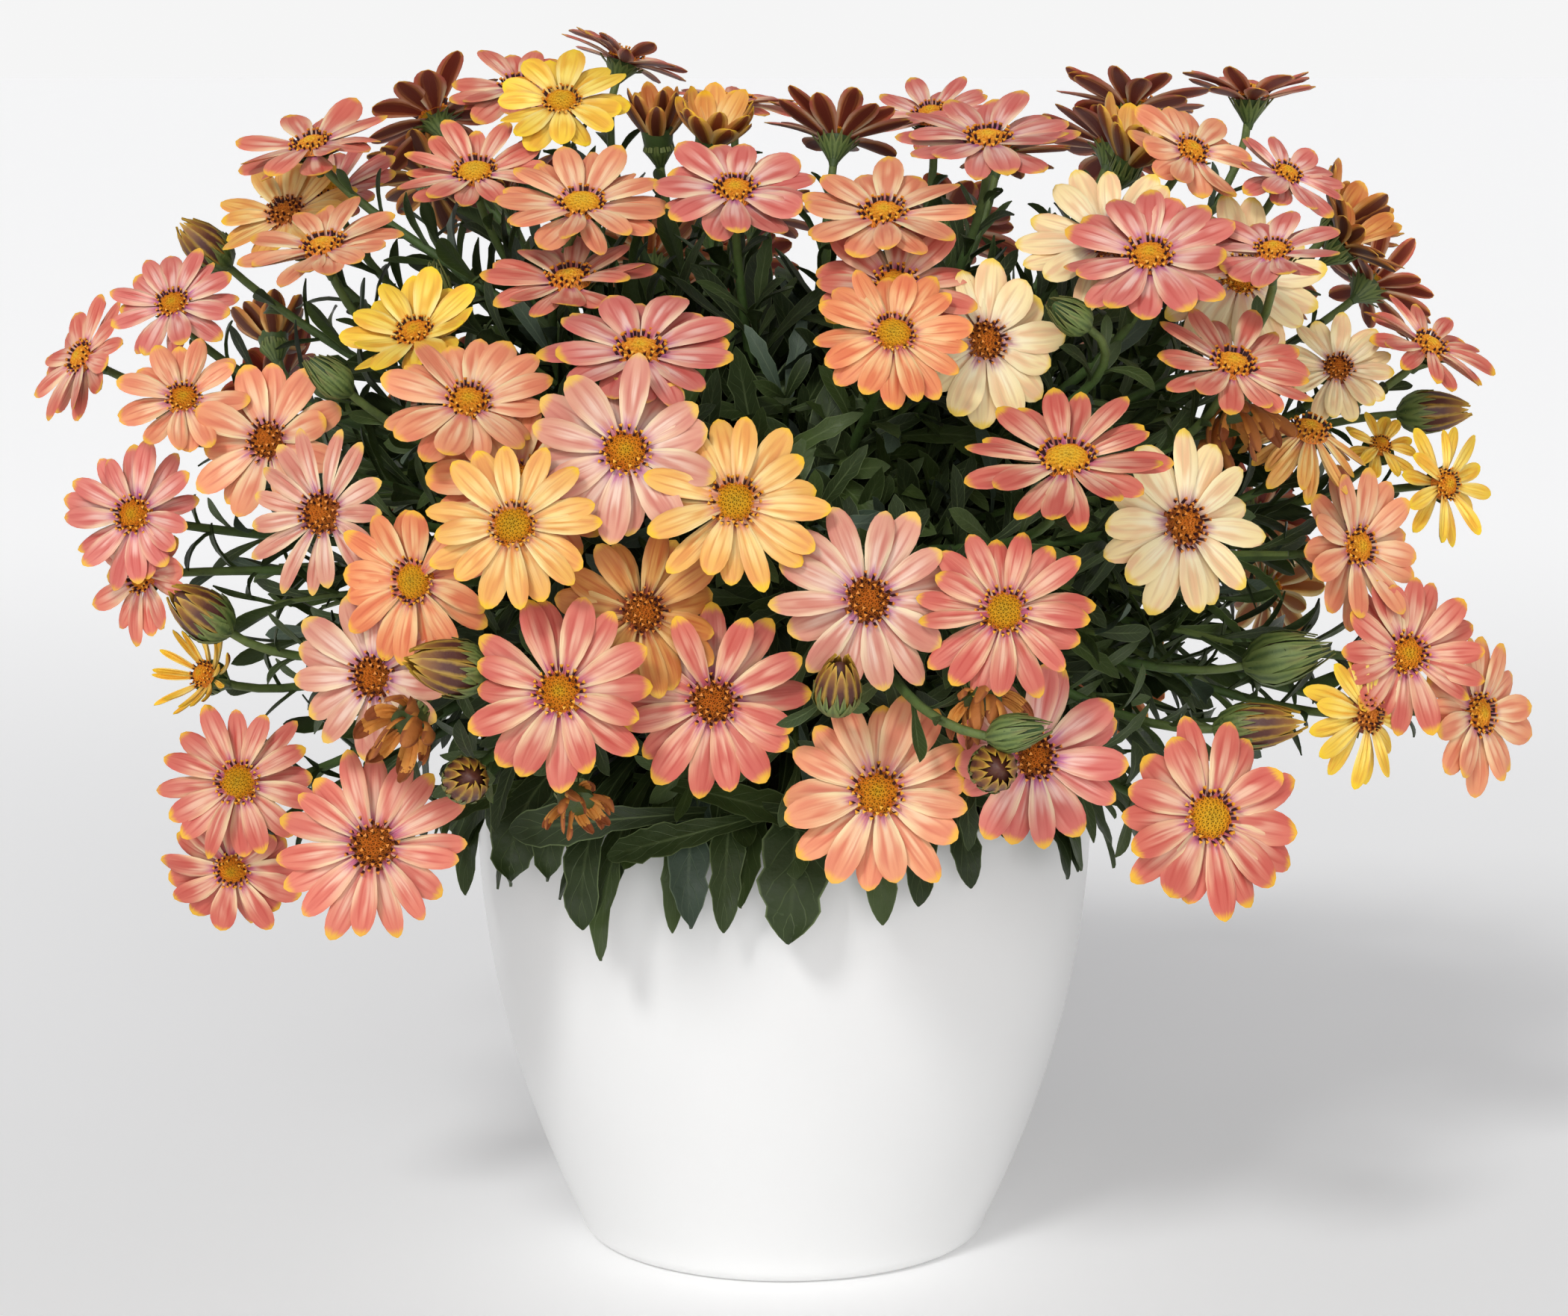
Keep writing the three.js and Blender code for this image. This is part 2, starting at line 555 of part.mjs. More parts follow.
function budSolid([, x, y, z, length, diameter, azimuth, elevation]) {
  const scaled = BUD_PROFILE.map(([radius, height]) => [radius * diameter, height * length]);
  const geometry = lathe(scaled, BUD_SIDES);
  geometry.applyMatrix4(standOn(new THREE.Vector3(x, y, z), facing(azimuth, elevation)));
  return solidFromGeometry(geometry);
}

// ---------------------------------------------------------------- leaves

// The corners of a lance-shaped leaf: its root, widest points, tip and the two faces' middles.
function leafPoints(root, direction, face, length) {
  const across = new THREE.Vector3().crossVectors(direction, face).normalize();
  const at = (along, aside, above) => root.clone()
    .addScaledVector(direction, along * length)
    .addScaledVector(across, aside * LEAF_WIDTH)
    .addScaledVector(face, above);
  return [
    at(0, 0, 0),
    at(WIDEST_AT, 0.5, 0),
    at(1, 0, -LEAF_DROOP * length),
    at(WIDEST_AT, -0.5, 0),
    at(WIDEST_AT - 0.07, 0, LEAF_RIB),
    at(WIDEST_AT - 0.07, 0, -LEAF_BACK),
  ];
}

const LEAF_TRIANGLES = [
  [0, 1, 4], [1, 2, 4], [2, 3, 4], [3, 0, 4],
  [1, 0, 5], [2, 1, 5], [3, 2, 5], [0, 3, 5],
];

// A long arching leaf, widest near its tip, with a raised midrib.
function rimLeaf(root, crest, tip, width) {
  const path = new THREE.QuadraticBezierCurve3(root, crest, tip);
  const rings = RIM_LEAF_OUTLINE.map(([station, share]) => {
    const point = path.getPointAt(station);
    const tangent = path.getTangentAt(station);
    const across = new THREE.Vector3().crossVectors(tangent, UP).normalize();
    const face = new THREE.Vector3().crossVectors(across, tangent).normalize();
    const half = 0.5 * width * share;
    return [
      point.clone().addScaledVector(across, half),
      point.clone().addScaledVector(face, -LEAF_BACK),
      point.clone().addScaledVector(across, -half),
      point.clone().addScaledVector(face, LEAF_RIB),
    ];
  });
  return sweptSolid(rings);
}

function makeCore() {
  const random = seededRandom(11);
  const profile = [];
  for (let ring = 0; ring <= CORE_RINGS; ring += 1) {
    const angle = (ring / CORE_RINGS - 0.5) * Math.PI;
    profile.push([ring % CORE_RINGS === 0 ? 0 : Math.cos(angle), Math.sin(angle)]);
  }
  const smooth = lathe(profile, CORE_SIDES).deleteAttribute('uv').deleteAttribute('normal');
  const geometry = mergeVertices(smooth, 1e-4);
  const position = geometry.attributes.position;
  for (let i = 0; i < position.count; i += 1) {
    const bump = 1 + CORE_BUMPS * (random() - 0.5);
    const point = new THREE.Vector3().fromBufferAttribute(position, i).multiplyScalar(bump);
    point.multiply(CORE_RADII).add(CORE_CENTRE);
    position.setXYZ(i, point.x, point.y, Math.max(point.z, CORE_BOTTOM));
  }
  return solidFromGeometry(geometry);
}

function makeCrown() {
  const bottom = CROWN_HOLE_FLOOR + 2;
  const crown = new THREE.CylinderGeometry(CROWN_RADIUS, CROWN_RADIUS, CORE_CENTRE.z - bottom, CROWN_SIDES);
  crown.rotateX(Math.PI / 2).translate(0, 0, (CORE_CENTRE.z + bottom) / 2);
  return solidFromGeometry(crown);
}

function clearOfPot(point) {
  return point.z > POT_HEIGHT + POT_CLEARANCE
    || Math.hypot(point.x, point.y) > potRadius(POT_HEIGHT) + POT_CLEARANCE;
}

function clearOfBlooms(point, blooms) {
  return blooms.every((bloom) => !touchesBloom(point, bloom, LEAF_MARGIN));
}

// Leaves along the stalks, each turned to a side where it is clear of everything else.
function makeLeaves(paths, blooms, heads) {
  const random = seededRandom(2024);
  const leaves = [];
  const taken = paths.map((path) => path.getSpacedPoints(PATH_POINTS).slice(5));
  for (const place of LEAF_PLACES) {
    paths.forEach((path, own) => {
      const station = place + LEAF_STRAY * (random() - 0.5);
      const root = path.getPointAt(station);
      const along = path.getTangentAt(station);
      const length = LEAF_LENGTH * (1 + LEAF_VARIES * (random() - 0.5));
      const nearby = taken.flatMap((points, index) => (index === own ? [] : points))
        .filter((point) => point.distanceTo(root) < 1.5 * LEAF_LENGTH);
      const start = random() * 2 * Math.PI;
      const across = new THREE.Vector3().crossVectors(along, UP).normalize();
      for (let turn = 0; turn < LEAF_TURNS; turn += 1) {
        const spoke = across.clone().applyAxisAngle(along, start + (turn / LEAF_TURNS) * 2 * Math.PI);
        const direction = spoke.clone().addScaledVector(along, LEAF_LEAN).normalize();
        const face = along.clone().addScaledVector(direction, -along.dot(direction)).normalize();
        const points = leafPoints(root, direction, face, length);
        const free = points.slice(1).every((point) => clearOfPot(point) && clearOfBlooms(point, blooms)
          && nearby.every((other) => other.distanceTo(point) > LEAF_CLEARANCE));
        if (!free) continue;
        const leaf = solidFrom(points, LEAF_TRIANGLES);
        if (heads.some((head) => head.intersect(leaf).volume() > 0)) continue;
        taken.push(points.slice(1));
        leaves.push(leaf);
        break;
      }
    });
  }
  return leaves;
}

// ---------------------------------------------------------------- assembly

const blooms = BLOOMS.map(readBloom);

// Heads whose rays cross are fused into one body: each group is the set of such heads.
function groupTouching(solids) {
  const groupOf = solids.map((_, index) => index);
  for (let a = 0; a < solids.length; a += 1) {
    for (let b = a + 1; b < solids.length; b += 1) {
      const apart = blooms[a].centre.distanceTo(blooms[b].centre);
      if (apart > blooms[a].radius + blooms[b].radius || groupOf[a] === groupOf[b]) continue;
      if (solids[a].intersect(solids[b]).volume() > 0) {
        const [from, to] = [groupOf[b], groupOf[a]];
        groupOf.forEach((group, index) => {
          if (group === from) groupOf[index] = to;
        });
      }
    }
  }
  const indices = solids.map((_, index) => index);
  return [...new Set(groupOf)].map((group) => indices.filter((index) => groupOf[index] === group));
}

function makePlant() {
  const heads = blooms.map(bloomSolid);
  const green = [makeCore(), makeCrown()];
  const paths = [];
  const sleeves = [];
  const addStalk = (name, foot, normal, calyx) => {
    const path = clearPath(foot, normal, name, blooms);
    paths.push(path);
    green.push(stalkSolid(path, calyx, 0));
    sleeves.push(stalkSolid(path, calyx, GAP));
  };
  for (const { name, centre, normal, cup } of blooms) {
    const foot = centre.clone().addScaledVector(normal, -HEAD_DEPTH - GAP);
    addStalk(name, foot, normal, cup < 0 ? NARROW_CALYX : CALYX_RADIUS);
  }
  for (const bud of BUDS) {
    const [name, x, y, z, length, , azimuth, elevation] = bud;
    const tip = facing(azimuth, elevation);
    green.push(budSolid(bud));
    addStalk(name, new THREE.Vector3(x, y, z).addScaledVector(tip, -BUD_FOOT * length), tip, CALYX_RADIUS);
  }
  for (const [name, x, y, z, diameter, azimuth, elevation] of SPENT) {
    const head = readBloom([name, x, y, z, diameter, azimuth, elevation, SPENT_CUP, 'bronze']);
    green.push(bloomSolid(head));
    addStalk(name, head.centre.clone(), head.normal, CALYX_RADIUS);
  }
  for (const [root, crest, tip, width] of RIM_LEAVES) {
    const points = [root, crest, tip].map((corner) => new THREE.Vector3(...corner));
    green.push(rimLeaf(...points, width));
  }
  green.push(...makeLeaves(paths, blooms, heads));
  const plant = largestBody(joinAll(green));
  const meshes = [namedMesh('stems_and_leaves', plant, 0x2f4a22, 0.7)];
  for (const group of groupTouching(heads)) {
    let cluster = joinAll(group.map((index) => heads[index]));
    for (const sleeve of sleeves) {
      if (cluster.intersect(sleeve).volume() > 0) cluster = cluster.subtract(sleeve);
    }
    const name = `blooms_${group.map((index) => blooms[index].name).join('_')}`;
    meshes.push(namedMesh(name, largestBody(cluster), COLOURS[blooms[group[0]].colour], 0.6));
  }
  return meshes;
}

const flowerpot = new THREE.Group();
flowerpot.name = 'osteospermum';
flowerpot.add(namedMesh('pot', makePot(), 0xf2f2f0, 0.35));
flowerpot.add(namedMesh('soil', makeSoil(), 0x2b1d14, 0.95));
flowerpot.add(...makePlant());

export default flowerpot;
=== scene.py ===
import json
import math

import bpy
import numpy as np
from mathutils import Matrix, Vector
from mathutils.geometry import delaunay_2d_cdt


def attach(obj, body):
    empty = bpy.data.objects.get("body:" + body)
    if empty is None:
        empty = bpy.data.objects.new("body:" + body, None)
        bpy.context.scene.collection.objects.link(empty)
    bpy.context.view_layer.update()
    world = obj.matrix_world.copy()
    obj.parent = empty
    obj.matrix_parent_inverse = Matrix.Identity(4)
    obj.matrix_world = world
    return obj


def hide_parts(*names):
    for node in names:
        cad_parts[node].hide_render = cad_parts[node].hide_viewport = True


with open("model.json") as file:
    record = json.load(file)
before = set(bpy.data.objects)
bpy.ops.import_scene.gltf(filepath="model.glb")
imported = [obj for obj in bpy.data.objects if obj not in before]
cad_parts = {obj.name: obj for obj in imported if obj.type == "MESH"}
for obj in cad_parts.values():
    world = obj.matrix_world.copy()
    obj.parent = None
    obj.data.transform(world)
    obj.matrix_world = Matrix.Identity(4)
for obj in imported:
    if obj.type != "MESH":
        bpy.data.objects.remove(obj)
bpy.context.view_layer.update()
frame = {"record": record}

MM = 0.001
scene = bpy.context.scene

# ---------------------------------------------------------------- camera and light

CAMERA_TARGET = (0, 0, 0.180)
CAMERA_DISTANCE = 1.15
CAMERA_PITCH = 9  # degrees that it looks down
CAMERA_LENS = 85.71
SENSOR_WIDTH = 36


def aim(thing, place, target):
    thing.location = place
    thing.rotation_euler = (Vector(target) - Vector(place)).to_track_quat("-Z", "Y").to_euler()
    scene.collection.objects.link(thing)


def add_camera():
    data = bpy.data.cameras.new("camera")
    data.lens = CAMERA_LENS
    data.sensor_width = SENSOR_WIDTH
    camera = bpy.data.objects.new("camera", data)
    pitch = math.radians(CAMERA_PITCH)
    back = Vector((0, -math.cos(pitch), math.sin(pitch))) * CAMERA_DISTANCE
    aim(camera, Vector(CAMERA_TARGET) + back, CAMERA_TARGET)
    scene.camera = camera


def add_sun(name, place, spread, power):
    """Light from one side of the sky; a wide spread makes its shadows soft."""
    data = bpy.data.lights.new(name, "SUN")
    data.angle = math.radians(spread)
    data.energy = power
    aim(bpy.data.objects.new(name, data), place, (0, 0, 0))


add_camera()
add_sun("key", (-0.42, -0.95, 0.82), 12, 1.25)
add_sun("fill", (0.12, -1.0, 0.16), 45, 1.22)
scene.view_settings.view_transform = "Standard"

# ---------------------------------------------------------------- tables, as in the source of the solids

def rows(text):
    """A table with a name in each row, and then numbers and words."""
    table = []
    for line in text.strip().split("\n"):
        name, *rest = line.split()
        table.append((name, *(int(word) if word.strip("-").isdigit() else word for word in rest)))
    return table


def by_name(groups):
    """What each head has, from the names of the heads that have it."""
    return {name: value for value, names in groups.items() for name in names.split()}


# Open heads: name, place of the disc (x, y, z), diameter across the rays, azimuth that the face
# points to (0 is the front, 90 is +X), its elevation, how far the rays rise from flat, colour.
BLOOMS = rows("""
01 -82 35 353 48 -1 63 3 salmon
02 -66 -16 349 44 2 46 3 yellow
03 -51 65 362 46 113 68 8 salmon
04 -15 55 348 45 56 85 4 salmon
05 -39 32 337 42 -20 78 62 bronze
06 -22 2 337 42 20 66 50 yellow
07 -141 -10 336 50 -30 65 3 salmon
08 -110 54 344 52 -140 52 0 salmon
09 -91 -27 328 49 -6 56 10 salmon
10 -58 -60 320 53 4 57 9 peach
11 -14 -62 324 50 1 54 6 pink
12 16 20 338 50 165 64 20 salmon
13 28 -78 318 54 -2 59 6 peach
14 46 44 344 46 -20 64 10 pink
15 59 -47 338 57 -4 68 7 pink
16 67 43 334 48 165 68 5 orange
17 110 63 347 53 165 70 12 salmon
18 104 2 331 48 40 60 52 yellow
19 118 -41 335 42 32 47 4 peach
20 144 30 350 48 113 87 20 salmon
21 147 -32 328 38 32 52 4 pink
22 172 30 311 44 70 40 40 bronze
23 -139 24 321 46 -22 58 14 pink
24 -151 6 315 48 -22 46 12 yellow
25 -134 -42 307 52 -26 66 8 peach
26 -112 62 324 48 165 34 10 bronze
27 -180 -32 290 41 -11 40 3 pink
29 -211 -11 273 44 -52 27 3 salmon
30 -171 -74 266 41 4 36 3 peach
31 -164 65 273 38 -155 60 50 bronze
32 -146 -82 255 49 -21 21 4 orange
33 -187 -65 232 46 -18 14 10 pink
34 -127 -112 238 50 -24 8 12 peach
35 -186 -60 214 44 -44 2 6 salmon
37 -168 -60 184 38 -40 24 34 yellow
38 -61 -68 299 52 -15 67 9 salmon
39 -39 -125 283 57 3 61 8 pink
40 -104 -78 284 46 -20 50 20 yellow
41 -86 -122 269 50 9 47 8 pink
42 -42 -151 259 54 4 22 8 blush
43 -13 -156 246 53 2 26 2 yellow
44 -71 -164 241 49 -4 20 2 yellow
45 -72 -130 248 56 -6 26 2 orange
46 -100 -132 222 49 -24 7 3 orange
47 -38 -150 216 48 20 12 10 bronze
48 -112 -127 195 52 -20 8 6 blush
51 -59 -167 197 54 -2 25 3 coral
52 -19 -150 192 55 2 10 4 coral
53 22 -161 221 54 5 12 2 blush
54 58 -163 218 50 -1 24 3 coral
55 25 -156 168 58 -2 23 3 coral
56 67 -150 177 53 15 10 2 pink
61 30 -109 287 47 6 36 0 orange
62 31 -91 299 52 0 46 4 salmon
63 56 -91 284 50 20 14 0 cream
64 102 -89 307 54 -7 52 4 pink
65 92 -73 311 54 -14 36 4 cream
66 137 -86 308 42 -4 64 8 pink
67 133 -47 300 52 6 20 -6 cream
68 125 -94 277 52 16 59 5 salmon
69 164 -29 271 38 3 34 4 cream
70 192 -22 277 46 43 51 4 coral
71 75 -149 256 57 -5 57 7 coral
72 110 -112 235 56 28 10 0 cream
74 153 -52 255 46 22 60 -35 yellow
75 167 -52 221 50 38 12 10 peach
76 182 -56 190 52 18 14 2 coral
77 198 -20 236 40 38 8 4 yellow
78 179 -18 247 26 19 44 6 yellow
80 169 -67 174 46 42 8 -10 yellow
81 206 -42 170 51 45 9 2 peach
82 115 -144 159 57 17 15 2 coral
84 -157 -79 156 51 -8 20 2 coral
85 -160 -74 130 44 -8 -15 3 coral
86 -114 -119 146 58 -5 12 3 coral
93 170 5 306 40 80 40 30 bronze
a1 181 23 293 46 130 30 12 salmon
a2 -166 81 256 50 -118 24 6 coral
a3 -116 139 249 52 -140 34 6 pink
a4 -134 127 217 52 -130 14 4 coral
a5 -112 149 221 54 -148 16 4 peach
a6 -92 100 318 52 -150 54 8 pink
a7 -118 134 166 54 -140 4 2 salmon
a8 -51 169 227 52 -168 24 4 coral
a9 -45 136 295 54 -165 46 6 peach
b1 -47 170 204 54 -162 8 2 yellow
b2 -11 117 311 54 180 62 8 salmon
b3 -12 178 207 54 178 14 4 pink
b4 -21 146 294 54 175 38 4 coral
b5 4 172 152 54 180 0 2 coral
b6 76 163 230 54 165 22 4 orange
b7 57 171 206 52 164 8 2 blush
b8 54 124 308 54 160 50 6 pink
b9 112 146 268 54 150 34 4 coral
c1 112 148 222 54 146 14 2 salmon
c2 110 136 154 52 144 0 2 peach
c3 106 79 334 52 146 56 8 salmon
c4 154 102 292 52 130 38 6 pink
c5 159 105 212 54 126 18 2 coral
c6 162 98 188 52 120 4 2 cream""")

# Buds: name, place of the middle (x, y, z), length, diameter, azimuth and elevation of the tip.
BUDS = rows("""
28 -177 10 306 21 14 -60 42
36 -166 -86 207 22 15 -66 38
50 -89 -160 203 23 16 -66 14
57 14 -178 201 18 13 10 64
58 61 -180 189 20 12 74 12
59 55 -178 179 14 13 10 10
79 198 0 256 22 14 84 4
83 135 -92 175 26 14 80 6
87 -85 -152 171 15 13 20 16
89 -100 -59 297 18 11 -10 80
90 -127 -96 275 20 12 -60 40
91 79 -99 292 18 12 -60 30
92 146 -66 191 30 19 82 14
d1 -84 152 262 20 13 -150 40
d2 89 146 241 20 13 160 30""")

# Spent heads: name, place (x, y, z), diameter of the shrivelled rays, azimuth and elevation.
SPENT = rows("""
49 -101 -138 185 40 -20 -30
60 52 -167 197 36 10 -50
73 128 -78 264 44 20 -60
88 -56 -156 167 28 20 -40
d3 140 128 196 40 130 -40""")

# Large leaves that hang over the rim: root, highest point and tip (x, y, z each), then the width.
RIM_LEAVES = [
    [[-30, -36, 172], [-84, -88, 166], [-78, -90, 128], 15],
    [[-24, -40, 172], [-72, -96, 166], [-67, -97, 131], 13],
    [[-20, -40, 172], [-64, -98, 166], [-57, -102, 118], 14],
    [[-16, -40, 170], [-48, -102, 164], [-52, -106, 110], 13],
    [[-8, -44, 170], [-34, -106, 162], [-26, -109, 120], 14],
    [[-4, -44, 172], [-14, -106, 166], [-17, -110, 119], 11],
    [[4, -44, 170], [6, -110, 166], [1, -111, 116], 22],
    [[40, -36, 172], [92, -74, 168], [96, -74, 130], 12],
    [[42, -30, 172], [102, -64, 166], [104, -62, 132], 12],
    [[-40, -34, 172], [-96, -66, 168], [-100, -62, 134], 13],
    [[-44, 0, 172], [-112, 6, 168], [-118, 8, 134], 14],
    [[-10, 44, 172], [-24, 110, 168], [-26, 114, 128], 15],
    [[14, 44, 172], [34, 108, 168], [38, 110, 130], 13],
    [[44, 4, 172], [112, 8, 168], [118, 8, 136], 14],
]

# How many rays a head has, where they can be counted.
RAYS = by_name({
    12: "78",
    14: "32 35 66 77",
    15: "02 07 11 13 34 38 48 53 56 63 72 81",
    16: "09 27 30 39 41 42 44 46 51 64 84",
    17: "15 43 52 55 61",
    18: "10 33 37 54 71 76 82 86",
})
# Rays that are narrower, as a share of the usual width.
NARROW_RAYS = by_name({
    0.36: "37",
    0.7: "77 78",
    0.74: "34",
    0.75: "74",
    0.8: "09 70",
    0.84: "25",
    0.92: "80 84",
    0.94: "86",
})
# Heads whose rays differ a little from the colour of their solid.
SHADES = by_name({"blush": "34", "gold": "02 37 40 77 78 80", "peach": "32 41 55", "salmon": "86"})
# The other discs are ripe.
DISC_AGES = by_name({
    "old": "24 32 34 47 48 52 53 56 63 65 69 72 80 86 b7",
    "young": "02 09 10 43 44 46 54 61 71 82 84",
})
GREEN_BUDS = "58 89 90 91 92 d1 d2".split()

POT_HEIGHT, POT_FOOT, POT_FLARE, POT_SWELL, POT_WALL, POT_FLOOR = 142, 61, 34, 2.1, 2.4, 4
SOIL_TOP, SOIL_GAP = 130, 2.6
CORE_CENTRE = np.array([0.0, 0.0, 206.0])  # the thick middle of the plant, that the stalks come out of
CORE_RADII = np.array([84.0, 72.0, 66.0])

# ---------------------------------------------------------------- vectors

UP = np.array([0.0, 0.0, 1.0])
NEAR_UP = np.array([0.31, 0.17, 0.93])  # nothing in the plant points exactly this way
GOLDEN_ANGLE = 2.39996


def unit(vectors):
    return vectors / np.linalg.norm(vectors, axis=-1, keepdims=True)


def point(*place):
    return np.array(place, dtype=float)


def facing(azimuth, elevation):
    turn, rise = math.radians(azimuth), math.radians(elevation)
    return point(math.sin(turn) * math.cos(rise), -math.cos(turn) * math.cos(rise), math.sin(rise))


def axes_of(normal):
    """Rows X, Y and Z of a frame whose Z is the normal."""
    x = unit(np.cross(NEAR_UP, normal))
    return np.array([x, np.cross(normal, x), normal])


def turns(count):
    """Equal steps round a circle."""
    return np.arange(count) * 2 * math.pi / count


def spun(random, count):
    """Equal steps round a circle, from a random start."""
    return random.uniform(0, 6) + turns(count)


def polar(turn, out, high):
    """Points from their turn about Z, their distance from it and their height."""
    return np.stack(np.broadcast_arrays(out * np.cos(turn), out * np.sin(turn), high), axis=-1)


def revolved(profile, sides):
    """Rings about Z through the points (radius, height) of a profile."""
    radii, heights = np.array(profile, dtype=float).T[..., None]
    return polar(turns(sides), radii, heights)


def seeded(name):
    seed = 7
    for letter in name:
        seed = (seed * 31 + ord(letter)) % 2**32
    return np.random.default_rng(seed)


def bezier(controls, stations):
    """Points along one cubic curve: (len(stations), 3)."""
    t = np.asarray(stations)[:, None]
    a, b, c, d = controls
    return (1 - t) ** 3 * a + 3 * (1 - t) ** 2 * t * b + 3 * (1 - t) * t**2 * c + t**3 * d


def bezier_tangent(controls, stations):
    t = np.asarray(stations)[:, None]
    a, b, c, d = controls
    return unit((1 - t) ** 2 * (b - a) + 2 * (1 - t) * t * (c - b) + t**2 * (d - c))


def summed(steps):
    """How far along each row its stations lie, from the steps between them."""
    return np.cumsum(np.pad(steps, ((0, 0), (1, 0))), axis=1)


def side_axes(tangents):
    """Two directions square to each tangent and to each other."""
    x = unit(np.cross(tangents, NEAR_UP))
    return x, np.cross(tangents, x)


# ---------------------------------------------------------------- meshes

VALUES = ("along", "across", "under", "tone")


class Shape:
    """Gathers forms, with values at every point that the materials read."""

    def __init__(self):
        self.points, self.faces, self.kinds = [], [], []
        self.values = {name: [] for name in VALUES}
        self.count = 0

    def patch(self, points, blocks, kind=0, **values):
        """Adds points (..., 3) and blocks of faces between them; values broadcast to the points."""
        for block in blocks:
            self.faces.append(block + self.count)
            self.kinds.append(np.full(len(block), kind))
        self.points.append(points.reshape(-1, 3))
        self.count += len(self.points[-1])
        for name in VALUES:
            value = np.asarray(values.get(name, 0.0), dtype=float)
            self.values[name].append(np.broadcast_to(value, points.shape[:-1]).ravel())

    def sweep(self, rings, kind=0, tone=0.0, **values):
        """Adds closed forms from rings of points (..., stations, sides, 3), with one tone a form."""
        stations, sides = rings.shape[-3:-1]
        rings = rings.reshape(-1, stations, sides, 3)
        start = np.arange(len(rings))[:, None] * stations * sides
        ring, side = np.meshgrid(np.arange(stations - 1), np.arange(sides), indexing="ij")
        here, beside = (ring * sides + side).ravel(), (ring * sides + (side + 1) % sides).ravel()
        quads = np.stack([here, beside, beside + sides, here + sides], axis=1)
        walls = (start[:, :, None] + quads).reshape(-1, 4)
        ends = [start + np.arange(sides)[::-1], start + (stations - 1) * sides + np.arange(sides)]
        self.patch(rings, [walls, *ends], kind, tone=np.reshape(tone, (-1, 1, 1)), **values)

    def mesh(self, name):
        faces = [tuple(face) for block in self.faces for face in block.tolist()]
        mesh = bpy.data.meshes.new(name)
        mesh.from_pydata((np.concatenate(self.points) * MM).tolist(), [], faces)
        return mesh

    def make(self, name, materials, nodes, slot, sharp=55):
        """Makes the piece that takes the place of the nodes; edges over the sharp angle stay hard."""
        mesh = self.mesh(name)
        for value in VALUES:
            layer = mesh.attributes.new(value, "FLOAT", "POINT")
            layer.data.foreach_set("value", np.concatenate(self.values[value]))
        for material in materials:
            mesh.materials.append(material)
        mesh.polygons.foreach_set("material_index", np.concatenate(self.kinds))
        mesh.polygons.foreach_set("use_smooth", np.ones(len(mesh.polygons), dtype=bool))
        mesh.set_sharp_from_angle(angle=math.radians(sharp))
        mesh.update()
        piece = bpy.data.objects.new(name, mesh)
        scene.collection.objects.link(piece)
        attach(piece, "root")
        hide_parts(*nodes)
        return piece


def tubes(paths, radii, sides):
    """Rings round paths (..., stations, 3), with radii that broadcast to (..., stations)."""
    x, y = side_axes(unit(np.gradient(paths, axis=-2)))
    turn = turns(sides)[:, None]
    spokes = x[..., None, :] * np.cos(turn) + y[..., None, :] * np.sin(turn)
    return paths[..., None, :] + np.asarray(radii)[..., None, None] * spokes


# ---------------------------------------------------------------- materials

class Value:
    """What a node gives; it adds, subtracts and multiplies as a number does."""

    def __init__(self, surface, socket):
        self.surface, self.socket = surface, socket

    def __add__(self, other):
        return self.surface.calc("ADD", self, other)

    def __sub__(self, other):
        return self.surface.calc("SUBTRACT", self, other)

    def __mul__(self, other):
        return self.surface.calc("MULTIPLY", self, other)

    def __abs__(self):
        return self.surface.calc("ABSOLUTE", self)


def linear(colour):
    """A colour given as it looks on a screen, 0 to 255, as a node takes it. A node's value stays."""
    if isinstance(colour, Value):
        return colour
    shares = [level / 255 for level in colour]
    return (*(s / 12.92 if s <= 0.04045 else ((s + 0.055) / 1.055) ** 2.4 for s in shares), 1.0)


